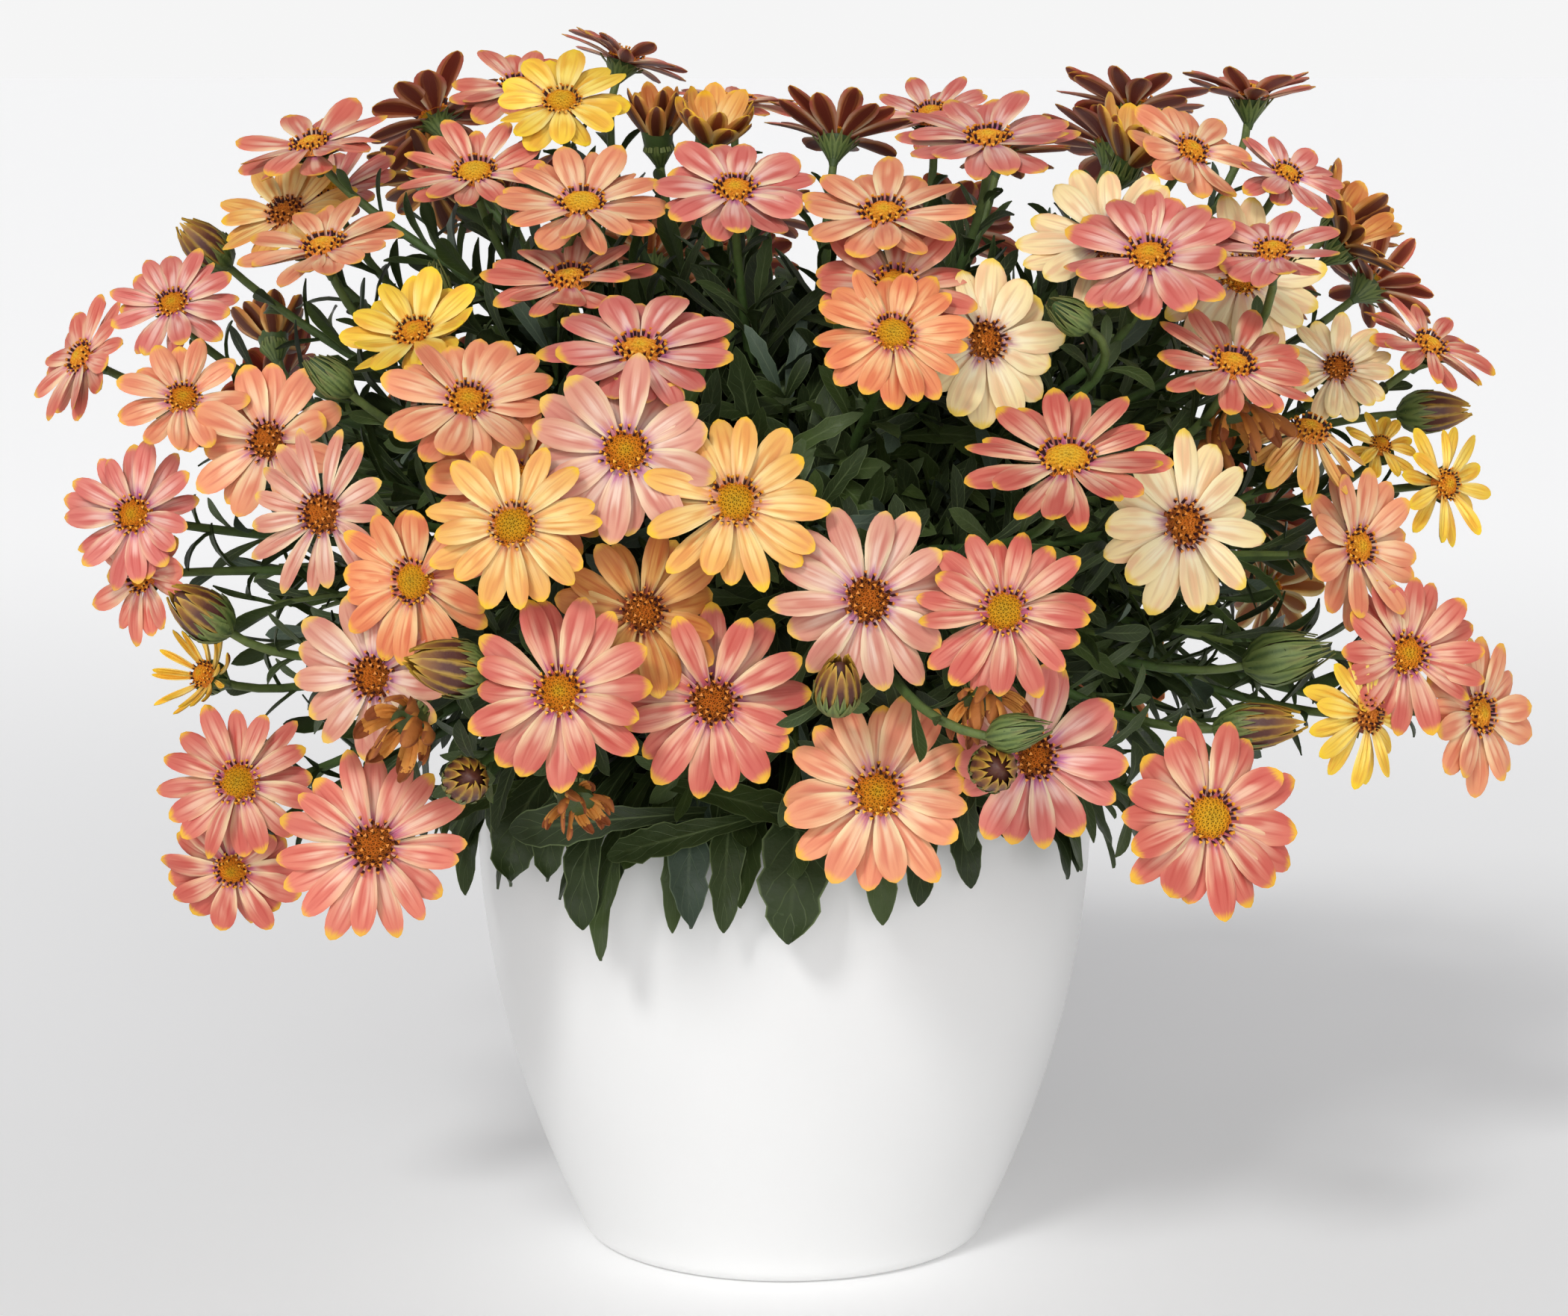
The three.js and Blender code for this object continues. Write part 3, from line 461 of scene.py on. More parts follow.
class Surface:
    """A material with short calls for the nodes it is made of."""

    def __init__(self, name, roughness, specular=0.5):
        self.material = bpy.data.materials.new(name)
        self.material.use_nodes = True
        self.tree = self.material.node_tree
        self.shader = self.tree.nodes["Principled BSDF"]
        self.feed(self.shader, {"Roughness": roughness, "Specular IOR Level": specular})

    def feed(self, node, inputs):
        """Links an input to a node's value, or sets it."""
        for key, value in inputs.items():
            if isinstance(value, Value):
                self.tree.links.new(value.socket, node.inputs[key])
            else:
                node.inputs[key].default_value = value

    def node(self, kind, inputs, **settings):
        made = self.tree.nodes.new(kind)
        for key, value in settings.items():
            setattr(made, key, value)
        self.feed(made, inputs)
        return made

    def put(self, kind, inputs, output=0, **settings):
        return Value(self, self.node(kind, inputs, **settings).outputs[output])

    def value(self, name):
        return self.put("ShaderNodeAttribute", {}, "Fac", attribute_name=name)

    def calc(self, operation, a, b=0.0):
        return self.put("ShaderNodeMath", {0: a, 1: b}, operation=operation)

    def span(self, value, low, high, to_low=0.0, to_high=1.0):
        """Goes smoothly from to_low to to_high as the value goes from low to high."""
        inputs = {"Value": value, "From Min": low, "From Max": high, "To Min": to_low, "To Max": to_high}
        return self.put("ShaderNodeMapRange", inputs, "Result", interpolation_type="SMOOTHSTEP")

    def blend(self, share, a, b, how="MIX"):
        inputs = {0: share, 6: linear(a), 7: linear(b)}
        return self.put("ShaderNodeMix", inputs, 2, data_type="RGBA", blend_type=how)

    def ramp(self, share, stops):
        made = self.node("ShaderNodeValToRGB", {0: share})
        elements = made.color_ramp.elements
        while len(elements) < len(stops):
            elements.new(0.5)
        for element, (place, colour) in zip(elements, stops):
            element.position = place
            element.color = linear(colour)
        return Value(self, made.outputs[0])

    def place(self):
        return self.put("ShaderNodeTexCoord", {}, "Object")

    def combine(self, x, y, z):
        return self.put("ShaderNodeCombineXYZ", {0: x, 1: y, 2: z})

    def noise(self, scale, detail=3.0, rough=0.5, at=None):
        inputs = {"Scale": scale, "Detail": detail, "Roughness": rough, "Vector": at or self.place()}
        return self.put("ShaderNodeTexNoise", inputs)

    def finish(self, colour, height=None, strength=0.3, distance=0.0004, rough=None):
        ends = {"Base Color": colour}
        if height is not None:
            relief = {"Height": height, "Strength": strength, "Distance": distance}
            ends["Normal"] = self.put("ShaderNodeBump", relief)
        if rough is not None:
            ends["Roughness"] = rough
        self.feed(self.shader, ends)
        return self.material


GROOVE_ASIDE = 0.34  # how far from the middle of a ray its two grooves run, of the half width
CREAM = np.array([250, 232, 170])
MILD_FROM, MILD_RANGE = 112, 600  # the greener a ray is than the first level, the less red its grooves are


def ray_surface(name, *colours):
    """A ray: flushed at its base, with painted shade darkening the flush under the disc, cream along its
    sides, with painted shade along two deep grooves and a yellow tip.
    """
    flush, pale, body, tip, under = np.array(colours, dtype=float)
    made = Surface(name, 0.5, 0.3)
    along, across, tone = made.value("along"), made.value("across"), made.value("tone")
    aside = abs(across)
    streaks = made.noise(1.0, 4.0, at=made.combine(across * 7.0, along * 1.3, tone * 60.0))
    clouds = made.noise(1.0, 1.0, at=made.combine(across * 1.5, along * 1.9, tone * 90.0))
    stray = (streaks + clouds - 1.0) * 0.22
    place = along + stray
    blush = 0.62 * body + 0.38 * pale
    # Painted shade: at the very base, under the edge of the disc, the flush is darker.
    colour = made.ramp(place, [
        (0.16, 0.78 * flush), (0.25, flush), (0.40, blush), (0.66, body), (0.95, body)])
    rosy = body * (0.93, 0.76, 0.80)
    colour = made.blend(made.span(clouds, 0.44, 0.68, 0.0, 0.6), colour, rosy)
    # Pale patches inside, and cream along both sides.
    inner = made.span(place, 0.24, 0.38) * made.span(place, 0.86, 0.46)
    centre = made.span(clouds, 0.64, 0.38) * made.span(aside, 0.9, 0.1)
    colour = made.blend(inner * centre * 0.6, colour, pale)
    ragged = made.span(aside + (streaks - 0.5) * 0.9, 0.42, 0.88)
    sides = made.span(place, 0.16, 0.26) * made.span(place, 0.86, 0.42) * ragged
    share = made.span(clouds + tone * 0.3, 0.4, 0.85, 0.9, 0.45)
    colour = made.blend(sides * share, colour, (pale + CREAM) / 2)
    # The grooves, darkened with painted shade and tinted redder, fine veins between them, and the tip.
    groove = made.span(abs(aside - GROOVE_ASIDE), 0.14, 0.0) * made.span(along, 0.97, 0.74)
    groove = groove * made.span(along, 0.3, 0.62, 0.2, 1.0) * made.span(tone, 0.0, 1.0, 0.45, 0.8)
    mild = (body[1] - MILD_FROM) / MILD_RANGE
    # Painted shade: the body colour is darkened, and made a little redder, along the grooves.
    colour = made.blend(groove, colour, body * (0.90, 0.66 + mild, 0.68 + mild))
    veins = made.span(streaks, 0.54, 0.66) * made.span(along, 0.98, 0.6)
    colour = made.blend(veins * 0.3, colour, rosy)
    end = along + stray * 0.35 + aside * aside * 0.015 + made.calc("FRACT", tone * 7.3) * 0.06
    colour = made.blend(made.span(end, 0.925, 1.025, 0.0, 0.95), colour, tip)
    level = tone * 0.12 + 0.92
    colour = made.blend(1.0, colour, made.combine(level, level, level), "MULTIPLY")
    # The underside is dark, with lighter edges.
    stripes = made.span(aside + streaks * 0.8, 0.70, 1.22)
    back = made.blend(stripes, under, 0.22 * under + 0.48 * body + 0.3 * tip)
    colour = made.blend(made.span(made.value("under"), 0.3, 0.95), colour, back)
    return made.finish(colour, streaks, 0.4, 0.0003)


RAY_COLOURS = {
    # flush at the base, pale patches, body, tip, underside
    "coral": ((194, 100, 134), (244, 210, 178), (212, 112, 94), (238, 184, 48), (132, 52, 40)),
    "salmon": ((200, 112, 142), (246, 216, 188), (224, 126, 104), (238, 182, 58), (126, 52, 38)),
    "pink": ((194, 110, 152), (246, 214, 200), (219, 124, 110), (238, 184, 60), (136, 60, 46)),
    "blush": ((198, 126, 160), (246, 222, 204), (217, 152, 127), (236, 190, 84), (150, 84, 60)),
    "peach": ((204, 124, 142), (250, 222, 182), (236, 154, 112), (244, 184, 66), (166, 84, 44)),
    "cream": ((206, 150, 156), (253, 242, 210), (252, 227, 168), (246, 210, 84), (176, 102, 54)),
    "yellow": ((222, 152, 126), (250, 228, 160), (240, 180, 92), (248, 196, 46), (132, 62, 30)),
    "orange": ((204, 112, 116), (247, 210, 154), (234, 142, 92), (244, 184, 60), (150, 66, 36)),
    "bronze": ((140, 62, 44), (232, 178, 98), (204, 128, 60), (236, 182, 70), (92, 42, 24)),
    "gold": ((218, 172, 74), (252, 230, 128), (248, 204, 66), (250, 210, 44), (146, 80, 28)),
}
RAY_SURFACES = {name: ray_surface(f"rays_{name}", *levels) for name, levels in RAY_COLOURS.items()}


def leaf_surface(name, dark, light, back, margin):
    """A leaf: mottled, with a pale midrib, side veins and margin, and another green below."""
    made = Surface(name, 0.6, 0.3)
    along, aside, tone = made.value("along"), abs(made.value("across")), made.value("tone")
    mottle = made.noise(160.0, 4.0, 0.6)
    colour = made.blend(made.span(tone + mottle * 0.6, 0.35, 1.35), dark, light)
    colour = made.blend(made.span(mottle, 0.35, 0.75, 0.0, 0.4), colour, dark)
    off_vein = made.calc("PINGPONG", along * 11.0 - aside * 1.8, 0.5)
    veins = made.span(off_vein, 0.07, 0.0) * made.span(aside, 0.95, 0.6)
    rib = made.span(aside, 0.13, 0.02) * made.span(along, 1.0, 0.5)
    for share in (veins * 0.22, rib * 0.4, made.span(aside, 0.90, 1.0, 0.0, 0.6)):
        colour = made.blend(share, colour, margin)
    colour = made.blend(made.span(made.value("under"), 0.3, 0.9), colour, back)
    grain = made.noise(900.0) + mottle * 1.5 - veins
    return made.finish(colour, grain, 0.4, 0.0003, made.span(mottle, 0.3, 0.7, 0.42, 0.62))


LEAF = leaf_surface("leaf", (42, 54, 26), (74, 92, 42), (66, 80, 46), (124, 140, 92))
GREY_LEAF = leaf_surface("grey_leaf", (58, 72, 58), (80, 96, 78), (76, 90, 72), (126, 142, 112))


def stem_surface():
    made = Surface("stem", 0.6)
    mottle = made.noise(240.0, 4.0)
    colour = made.ramp(made.value("along") + mottle * 0.2, [
        (0.1, (70, 60, 36)), (0.4, (58, 82, 36)), (0.8, (74, 100, 44)), (1.05, (96, 112, 52))])
    colour = made.blend(made.span(mottle, 0.35, 0.8, 0.0, 0.6), colour, (46, 62, 30))
    return made.finish(colour, made.noise(1400.0), 0.5)


def striped_surface(name, roughness, stops, scale, low, high, share, edge, strength):
    """A narrow form whose colour changes along it, with lighter edges."""
    made = Surface(name, roughness)
    colour = made.ramp(made.value("along"), stops)
    sides = made.span(abs(made.value("across")) + made.noise(scale) * 0.5, low, high)
    return made.finish(made.blend(sides * share, colour, edge), made.noise(1200.0), strength)


BRACT_STOPS = [(0.0, (50, 70, 32)), (0.6, (74, 94, 40)), (1.0, (104, 92, 46))]
BRACT = striped_surface("bract", 0.55, BRACT_STOPS, 500.0, 0.2, 0.9, 0.42, (138, 154, 82), 0.4)
BUD_STOPS = [(0.0, (62, 30, 26)), (0.55, (84, 40, 28)), (0.84, (146, 96, 34)), (1.0, (214, 170, 52))]
BUD_RAYS = striped_surface("bud_rays", 0.5, BUD_STOPS, 600.0, 0.62, 1.2, 0.8, (176, 140, 48), 0.3)


def spent_surface():
    made = Surface("spent_rays", 0.75)
    mottle = made.noise(420.0, 4.0, 0.6)
    colour = made.ramp(made.value("along") + mottle * 0.5, [
        (0.3, (100, 52, 22)), (0.7, (196, 122, 46)), (1.0, (216, 150, 66)), (1.2, (140, 72, 30))])
    colour = made.blend(made.span(made.value("under"), 0.3, 0.9), colour, (168, 98, 38))
    return made.finish(colour, mottle, 0.6, 0.0006)


DISC_STOPS = (0.0, 0.35, 0.6, 0.78, 0.9)  # from shut florets in the middle to the dark anthers


def disc_surface(name, *levels):
    """Florets, with painted shade darkening the gaps between them."""
    made = Surface(name, 0.6)
    colour = made.ramp(made.value("along") + (made.value("tone") - 0.5) * 0.12, list(zip(DISC_STOPS, levels)))
    # Painted shade: the gaps between the florets are darkened, as shade lies in them.
    gap_shade = [0.42 * level for level in levels[2]]
    colour = made.blend(made.span(made.value("under"), 0.15, 1.0, 0.0, 0.85), colour, gap_shade)
    return made.finish(colour, made.noise(2200.0), 0.4, 0.0002)


DISC_COLOURS = {
    "young": ((226, 190, 56), (238, 188, 44), (232, 162, 34), (230, 124, 28), (56, 20, 30)),
    "ripe": ((226, 188, 50), (234, 182, 44), (236, 168, 42), (228, 122, 30), (50, 18, 28)),
    "old": ((206, 136, 38), (196, 108, 34), (222, 136, 42), (134, 52, 28), (56, 18, 22)),
}
AGES = list(DISC_COLOURS)
DISCS = [disc_surface(f"disc_{age}", *levels) for age, levels in DISC_COLOURS.items()]


def pot_surface():
    made = Surface("pot_plastic", 0.3)
    made.feed(made.shader, {"Coat Weight": 0.25, "Coat Roughness": 0.12})
    colour = made.blend(made.span(made.noise(9.0), 0.3, 0.7), (233, 233, 232), (230, 230, 229))
    grain = made.noise(60.0)
    return made.finish(colour, grain, 0.02, 0.0002, made.span(grain, 0.2, 0.8, 0.29, 0.33))


def soil_surface():
    made = Surface("soil", 0.9)
    crumbs = made.noise(420.0, 6.0, 0.7)
    colour = made.ramp(crumbs, [
        (0.3, (22, 15, 11)), (0.5, (46, 33, 24)), (0.62, (70, 52, 38)), (0.74, (128, 112, 92))])
    return made.finish(colour, crumbs, 0.8, 0.0012)


def floor_surface():
    """Pale, with painted light: it glows more further off, as a studio sweep looks lit from below."""
    made = Surface("floor", 0.7)
    away = made.put("ShaderNodeVectorMath", {0: made.place()}, "Value", operation="LENGTH")
    # Painted light: the floor glows, more the further it lies from the plant.
    glow = made.span(away, 0.2, 2.0, 0.13, 0.31)
    made.feed(made.shader, {"Emission Color": (1.0, 1.0, 1.0, 1.0), "Emission Strength": glow})
    return made.finish(made.blend(made.noise(3.0), (249, 249, 248), (247, 247, 247)))


STEM, SPENT_RAYS, POT, SOIL = stem_surface(), spent_surface(), pot_surface(), soil_surface()
GREENS = [LEAF, BRACT, STEM, BUD_RAYS, SPENT_RAYS, GREY_LEAF]
BRACT_KIND, STEM_KIND, BUD_KIND, SPENT_KIND = 1, 2, 3, 4  # places in GREENS

FLOOR_HALF = 120
HORIZON, SKY = (0.915, 0.915, 0.915, 1.0), (0.34, 0.34, 0.35, 1.0)


def add_floor():
    mesh = bpy.data.meshes.new("floor")
    corners = [(x * FLOOR_HALF, y * FLOOR_HALF, 0) for x, y in ((-1, -1), (1, -1), (1, 1), (-1, 1))]
    mesh.from_pydata(corners, [], [(0, 1, 2, 3)])
    mesh.materials.append(floor_surface())
    floor = bpy.data.objects.new("floor", mesh)
    scene.collection.objects.link(floor)


def light_world():
    """Nearly white along the horizon, and grey above."""
    world = bpy.data.worlds.new("studio")
    scene.world = world
    world.use_nodes = True
    nodes, links = world.node_tree.nodes, world.node_tree.links
    split, ramp = nodes.new("ShaderNodeSeparateXYZ"), nodes.new("ShaderNodeValToRGB")
    for element, place, colour in zip(ramp.color_ramp.elements, (0.03, 0.24), (HORIZON, SKY)):
        element.position = place
        element.color = colour
    links.new(nodes.new("ShaderNodeTexCoord").outputs["Generated"], split.inputs[0])
    links.new(split.outputs["Z"], ramp.inputs[0])
    links.new(ramp.outputs[0], nodes["Background"].inputs["Color"])


add_floor()
light_world()

# ---------------------------------------------------------------- the heads

HALF_DEPTH = 2.5  # of the layers of rays of a head
NO_HEAD = -1

heads = []  # name, centre, normal, radius, cup, colour
for name, x, y, z, diameter, azimuth, elevation, cup, colour in BLOOMS:
    heads.append((name, point(x, y, z), facing(azimuth, elevation), diameter / 2, cup, colour))
HEAD_CENTRES = np.array([head[1] for head in heads])
HEAD_NORMALS = np.array([head[2] for head in heads])
HEAD_CUPS = np.radians([head[4] for head in heads])
HEAD_REACHES = np.array([head[3] for head in heads]) * np.cos(HEAD_CUPS)
HEAD_RISES = np.tan(HEAD_CUPS)


def past_heads(points, others):
    """How far each point (..., 3) lies from the axes of the other heads, and above their rays."""
    offset = points[..., None, :] - HEAD_CENTRES[others]
    height = (offset * HEAD_NORMALS[others]).sum(-1)
    across = np.sqrt(np.maximum(0, (offset**2).sum(-1) - height**2))
    return across, height - across * HEAD_RISES[others]


def touches(points, margin, own=NO_HEAD):
    """For each point, whether it is in or close to the rays of another head."""
    others = np.arange(len(heads)) != own
    across, above = past_heads(points, others)
    return ((across <= HEAD_REACHES[others] + margin) & (np.abs(above) < HALF_DEPTH + margin)).any(axis=1)


# ---------------------------------------------------------------- rays

RAY_STATIONS = np.array([0, 0.17, 0.36, 0.54, 0.69, 0.81, 0.905, 0.968, 1.0])
RAY_STRIPS = 6
RAY_WIDEST = 0.64  # of its length
RAY_START = 0.1  # of the head's radius
RAY_MIDDLE = 0.68  # of the head's radius, where the rays are widest
RAY_OVERLAP = 1.23  # the width there, as a share of the spacing
RAY_GROOVE = 0.28
RAY_THICKNESS = 0.5
RAY_LAYER = 0.7  # how far the upper rays start above the disc, and the lower ones below
RAY_JITTER = 0.13  # of the spacing
RAY_SHORTER = 0.2  # the most that a ray is short of its full length, as a share
CLOSING_CUP = 30  # from here on a head is closing, and its rays curl inwards
CURLS = ((-0.26, 0.26), (0.5, 0.2))  # mean and spread, for an open and a closing head
RAY_TILTS = np.radians([0, 5, -5, 10, -10, 15, -15, 21, -21, 28, -28, 36, -36])  # tried in this order
TILT_COST, CROSSED_COST, GRAZED_COST = 2.5, 2, 0.5
RAY_CLEARANCE = 1.0
BACK_ACROSS = 0.55  # where the two edges of a ray's flat back lie

RING_ACROSS = np.concatenate([np.linspace(1, -1, RAY_STRIPS + 1), [-BACK_ACROSS, BACK_ACROSS]])
RING_SIDE = np.concatenate([[0], np.ones(RAY_STRIPS - 1), [0, -1, -1]])


def ray_outline(stations):
    """Half width along a ray, as a share of its greatest."""
    rise = 0.30 + 0.70 * np.sin(0.5 * math.pi * np.minimum(stations / RAY_WIDEST, 1)) ** 1.5
    past = np.clip((stations - RAY_WIDEST) / (1 - RAY_WIDEST), 0, 1)
    return np.where(stations < RAY_WIDEST, rise, np.maximum(1 - past**2.3, 0.006) ** 0.53)


def ray_lines(radius, cup, length, lift, slopes):
    """How far out and up each station of each ray lies, from the slopes between them."""
    steps = np.diff(RAY_STATIONS) * length[:, None]
    start = RAY_START * radius * math.cos(math.radians(cup))
    return start + summed(steps * np.cos(slopes)), lift[:, None] + summed(steps * np.sin(slopes))


def clear_tilts(centre, axes, own, turn, half, slopes, *lines):
    """For each ray, the tilt at which it passes the other heads best."""
    others = np.arange(len(heads)) != own
    cos, sin = np.cos(turn)[:, None], np.sin(turn)[:, None]
    costs = []
    for tilt in RAY_TILTS:
        out, up = ray_lines(*lines, slopes + tilt)
        cost = TILT_COST * abs(tilt)
        for side in (-0.8, 0, 0.8):
            aside = side * half[:, None] * ray_outline(RAY_STATIONS)
            local = np.stack([out * cos - aside * sin, out * sin + aside * cos, up], axis=-1)
            across, above = past_heads((local @ axes + centre)[:, 2:], others)
            inside = across < HEAD_REACHES[others] + 1
            crossed = (above[:, 1:] * above[:, :-1] < 0) & inside[:, 1:] & inside[:, :-1]
            grazed = inside & (np.abs(above) < RAY_CLEARANCE)
            cost = cost + CROSSED_COST * crossed.sum(axis=(1, 2)) + GRAZED_COST * grazed.sum(axis=(1, 2))
        costs.append(cost)
    return RAY_TILTS[np.argmin(costs, axis=0)]


def add_rays(shape, centre, normal, radius, cup, count, random, own=NO_HEAD, kind=0, wither=0.0, narrow=1.0):
    """Two layers of rays round a head. wither narrows, twists and curls them."""
    axes = axes_of(normal)
    spacing = 2 * math.pi / count
    order = np.arange(count)
    upper = order % 2 == 0
    closing = cup > CLOSING_CUP
    turn = random.uniform(0, spacing) + order * spacing + random.normal(0, RAY_JITTER, count) * spacing
    length = radius * (1 - RAY_START) * (1 - RAY_SHORTER * random.uniform(0, 1, count) ** 1.4)
    pitch = math.radians(cup) + random.normal(0, 0.05 + 0.25 * wither, count) + np.where(upper, 0.045, -0.05)
    curl = random.normal(*CURLS[closing], count) + 1.2 * wither
    twist = random.normal(0, 0.2 + 1.3 * wither, count)
    sway = random.normal(0, 0.95 + 2.5 * wither, count)
    half = 0.5 * RAY_OVERLAP * spacing * RAY_MIDDLE * radius
    half = half * random.uniform(0.84, 1.1, count) * (1 - 0.55 * wither)
    half = np.minimum(half * narrow * random.uniform(0.88, 1.16), 0.2 * radius)
    fold = random.uniform(0.0, 0.22, count) + 0.25 * closing + 0.5 * wither + 0.9 * (1 - narrow)
    # The line of each ray, tilted to pass the other heads.
    middles = (RAY_STATIONS[1:] + RAY_STATIONS[:-1]) / 2
    slope = pitch[:, None] + curl[:, None] * (middles - 0.45)
    lift = np.where(upper, RAY_LAYER, -RAY_LAYER)
    tilt = clear_tilts(centre, axes, own, turn, half, slope, radius, cup, length, lift)
    slope = slope + tilt[:, None]
    out, up = ray_lines(radius, cup, length, lift, slope)
    # The rings round it: (rays, stations, points of a ring).
    half, fold, twist, sway, turn = (values[:, None, None] for values in (half, fold, twist, sway, turn))
    stations, ring = RAY_STATIONS[:, None], RING_ACROSS
    width = half * ray_outline(stations)
    groove = RAY_GROOVE * np.cos(3 * math.pi * ring) * np.sin(math.pi * np.clip(stations, 0.08, 0.97)) ** 0.6
    groove = np.where(RING_SIDE < 0, -RAY_GROOVE, groove) * np.where(stations > 0.95, 0.4, 1.0)
    channel = fold * width * (ring**2 - 0.3) - 0.10 * width * ring**2 * stations
    swell = RAY_THICKNESS * (1 - ring**2) * np.where(stations < 0.95, 1, 0.5) * RING_SIDE
    aside, height, angle = ring * width, groove + channel + 0.5 * swell, twist * stations
    a = aside * np.cos(angle) - height * np.sin(angle) + sway * stations**2
    b = aside * np.sin(angle) + height * np.cos(angle)
    lean = np.pad(slope, ((0, 0), (0, 1)), mode="edge")[:, :, None]
    r, z = out[:, :, None] - b * np.sin(lean), up[:, :, None] + b * np.cos(lean)
    local = np.stack([r * np.cos(turn) - a * np.sin(turn), r * np.sin(turn) + a * np.cos(turn), z], axis=-1)
    shape.sweep(local @ axes + centre, kind, random.uniform(0, 1, count), across=ring, under=RING_SIDE < 0,
                along=RAY_START + (1 - RAY_START) * stations)


# ---------------------------------------------------------------- discs

DISC_RADIUS = 0.236  # of the head's radius
DISC_DOME = 2.7
DISC_EDGE = 0.5
SHUT_FROM, SHUT_TO, SHUT_SHARE = 25, 60, 0.4  # cups between which a disc shrinks to this share
FLORETS = 92
FLORET_RING = 26
BUMP, GAP = 0.4, 0.6  # how far florets stand out of the dome, and gaps lie in it
# Anthers stand from this share outwards, and there are so many.
ANTHERS = {"young": (0.80, 30), "ripe": (0.60, 32), "old": (0.34, 38)}
FRESH = {"young": 0.80, "ripe": 0.34, "old": 0.0}  # florets within this share are still shut


def dome(share):
    return DISC_EDGE + (DISC_DOME - DISC_EDGE) * (1 - share**2)


def relief():
    """The florets of a disc: points (across, across, height), triangles and how deep each point lies."""
    order = np.arange(FLORETS)
    share = np.concatenate([0.96 * np.sqrt((order + 0.5) / FLORETS), np.full(FLORET_RING, 1.03)])
    turn = np.concatenate([order * GOLDEN_ANGLE, turns(FLORET_RING)])
    found = delaunay_2d_cdt([Vector(spot) for spot in polar(turn, share, 0)[:, :2]], [], [], 0, 1e-6)
    peaks = np.array([tuple(spot) for spot in found[0]])
    corners = np.array(found[2])
    gaps = peaks[corners].mean(axis=1)
    spots = np.vstack([peaks, gaps])
    middle = len(peaks) + np.arange(len(corners))
    triangles = np.vstack([
        np.stack([corners[:, k], corners[:, (k + 1) % 3], middle], axis=1) for k in range(3)])
    far = np.hypot(*spots.T)
    deep = np.concatenate([np.zeros(len(peaks)), np.ones(len(gaps))])
    high = np.where(far > 1.0, -0.5, dome(far) + BUMP - (BUMP + GAP) * deep)
    return np.column_stack([spots, high]), triangles, deep


RELIEF_POINTS, RELIEF_TRIANGLES, RELIEF_DEEP = relief()


def add_disc(shape, centre, normal, radius, cup, age, random):
    """A drum with florets on its dome, and a ring of anthers."""
    kind = AGES.index(age)
    axes = axes_of(normal)
    reach = DISC_RADIUS * radius * np.interp(cup, [SHUT_FROM, SHUT_TO], [1.0, SHUT_SHARE])
    centre = centre + normal * 0.7 * reach * math.tan(math.radians(max(cup, 0)))
    drum = revolved([(0.5 * reach, -1.0), (0.97 * reach, -0.1)], FLORET_RING)
    shape.sweep(drum @ axes + centre, kind, along=0.5)
    spin = random.uniform(0, 6)
    cos, sin = math.cos(spin), math.sin(spin)
    flat = RELIEF_POINTS[:, :2] @ np.array([[cos, sin], [-sin, cos]])
    high = RELIEF_POINTS[:, 2] + (1 - RELIEF_DEEP) * random.uniform(-0.22, 0.22, len(RELIEF_DEEP))
    spots = np.column_stack([flat * reach, high])
    far = np.hypot(*flat.T)
    ripe = np.where(far < FRESH[age], 0.55 * far / max(FRESH[age], 0.1), 0.5 + 0.25 * far)
    tone = random.uniform(0, 1, len(far))
    # The depth of each point goes to the material as under, which paints shade into the gaps between florets.
    shape.patch(spots @ axes + centre, [RELIEF_TRIANGLES], kind, along=ripe, under=RELIEF_DEEP, tone=tone)
    inner, count = ANTHERS[age]
    order = np.arange(count)
    share = np.sqrt(inner**2 + (1.0 - inner**2) * (order + 0.5) / count)
    lean = (0.62 * share * random.uniform(0.6, 1.3, count))[:, None]
    out = polar(order * GOLDEN_ANGLE + spin, 1.0, 0.0)
    foot = out * (share * reach)[:, None] + UP * dome(share)[:, None]
    tall = 0.36 * reach * random.uniform(0.75, 1.25, count)
    steps = np.array([0.0, 0.66, 1.0]) * tall[:, None]
    paths = foot[:, None] + (out * np.sin(lean) + UP * np.cos(lean))[:, None] * steps[..., None]
    rings = tubes(paths, 0.066 * reach * np.array([1.0, 1.1, 1.5]), 3)
    shape.sweep(rings @ axes + centre, kind, 0.5, along=[[0.95], [0.95], [0.6]])


# ---------------------------------------------------------------- calyx and bracts

HEAD_DEPTH = 2.6  # a stalk ends a little further than this behind the rays
BRACTS = 14
CALYX_CUP = 60  # a calyx opens no less than this
STRIP_ACROSS = np.array([1.0, 0.0, -1.0, 0.0])
STRIP_UNDER = np.array([0.0, 0.0, 0.0, 1.0])


def add_strips(shape, paths, widths, thick, faces, kind, tone, lift=0.0, along=None):
    """Thin leaves: rings of four round paths (forms, stations, 3); faces are the upward sides."""
    tangents = unit(np.gradient(paths, axis=-2))
    across = unit(np.cross(faces, tangents))
    above = np.cross(tangents, across)
    half = 0.5 * np.asarray(widths)[..., None]
    thick = np.reshape(thick, (-1, 1))
    rings = np.stack([paths + across * half + above * lift * half, paths + above * thick * 0.5,
                      paths - across * half + above * lift * half, paths - above * thick], axis=-2)
    along = np.linspace(0, 1, paths.shape[-2]) if along is None else along
    shape.sweep(rings, kind, tone, along=along[:, None], across=STRIP_ACROSS, under=STRIP_UNDER)


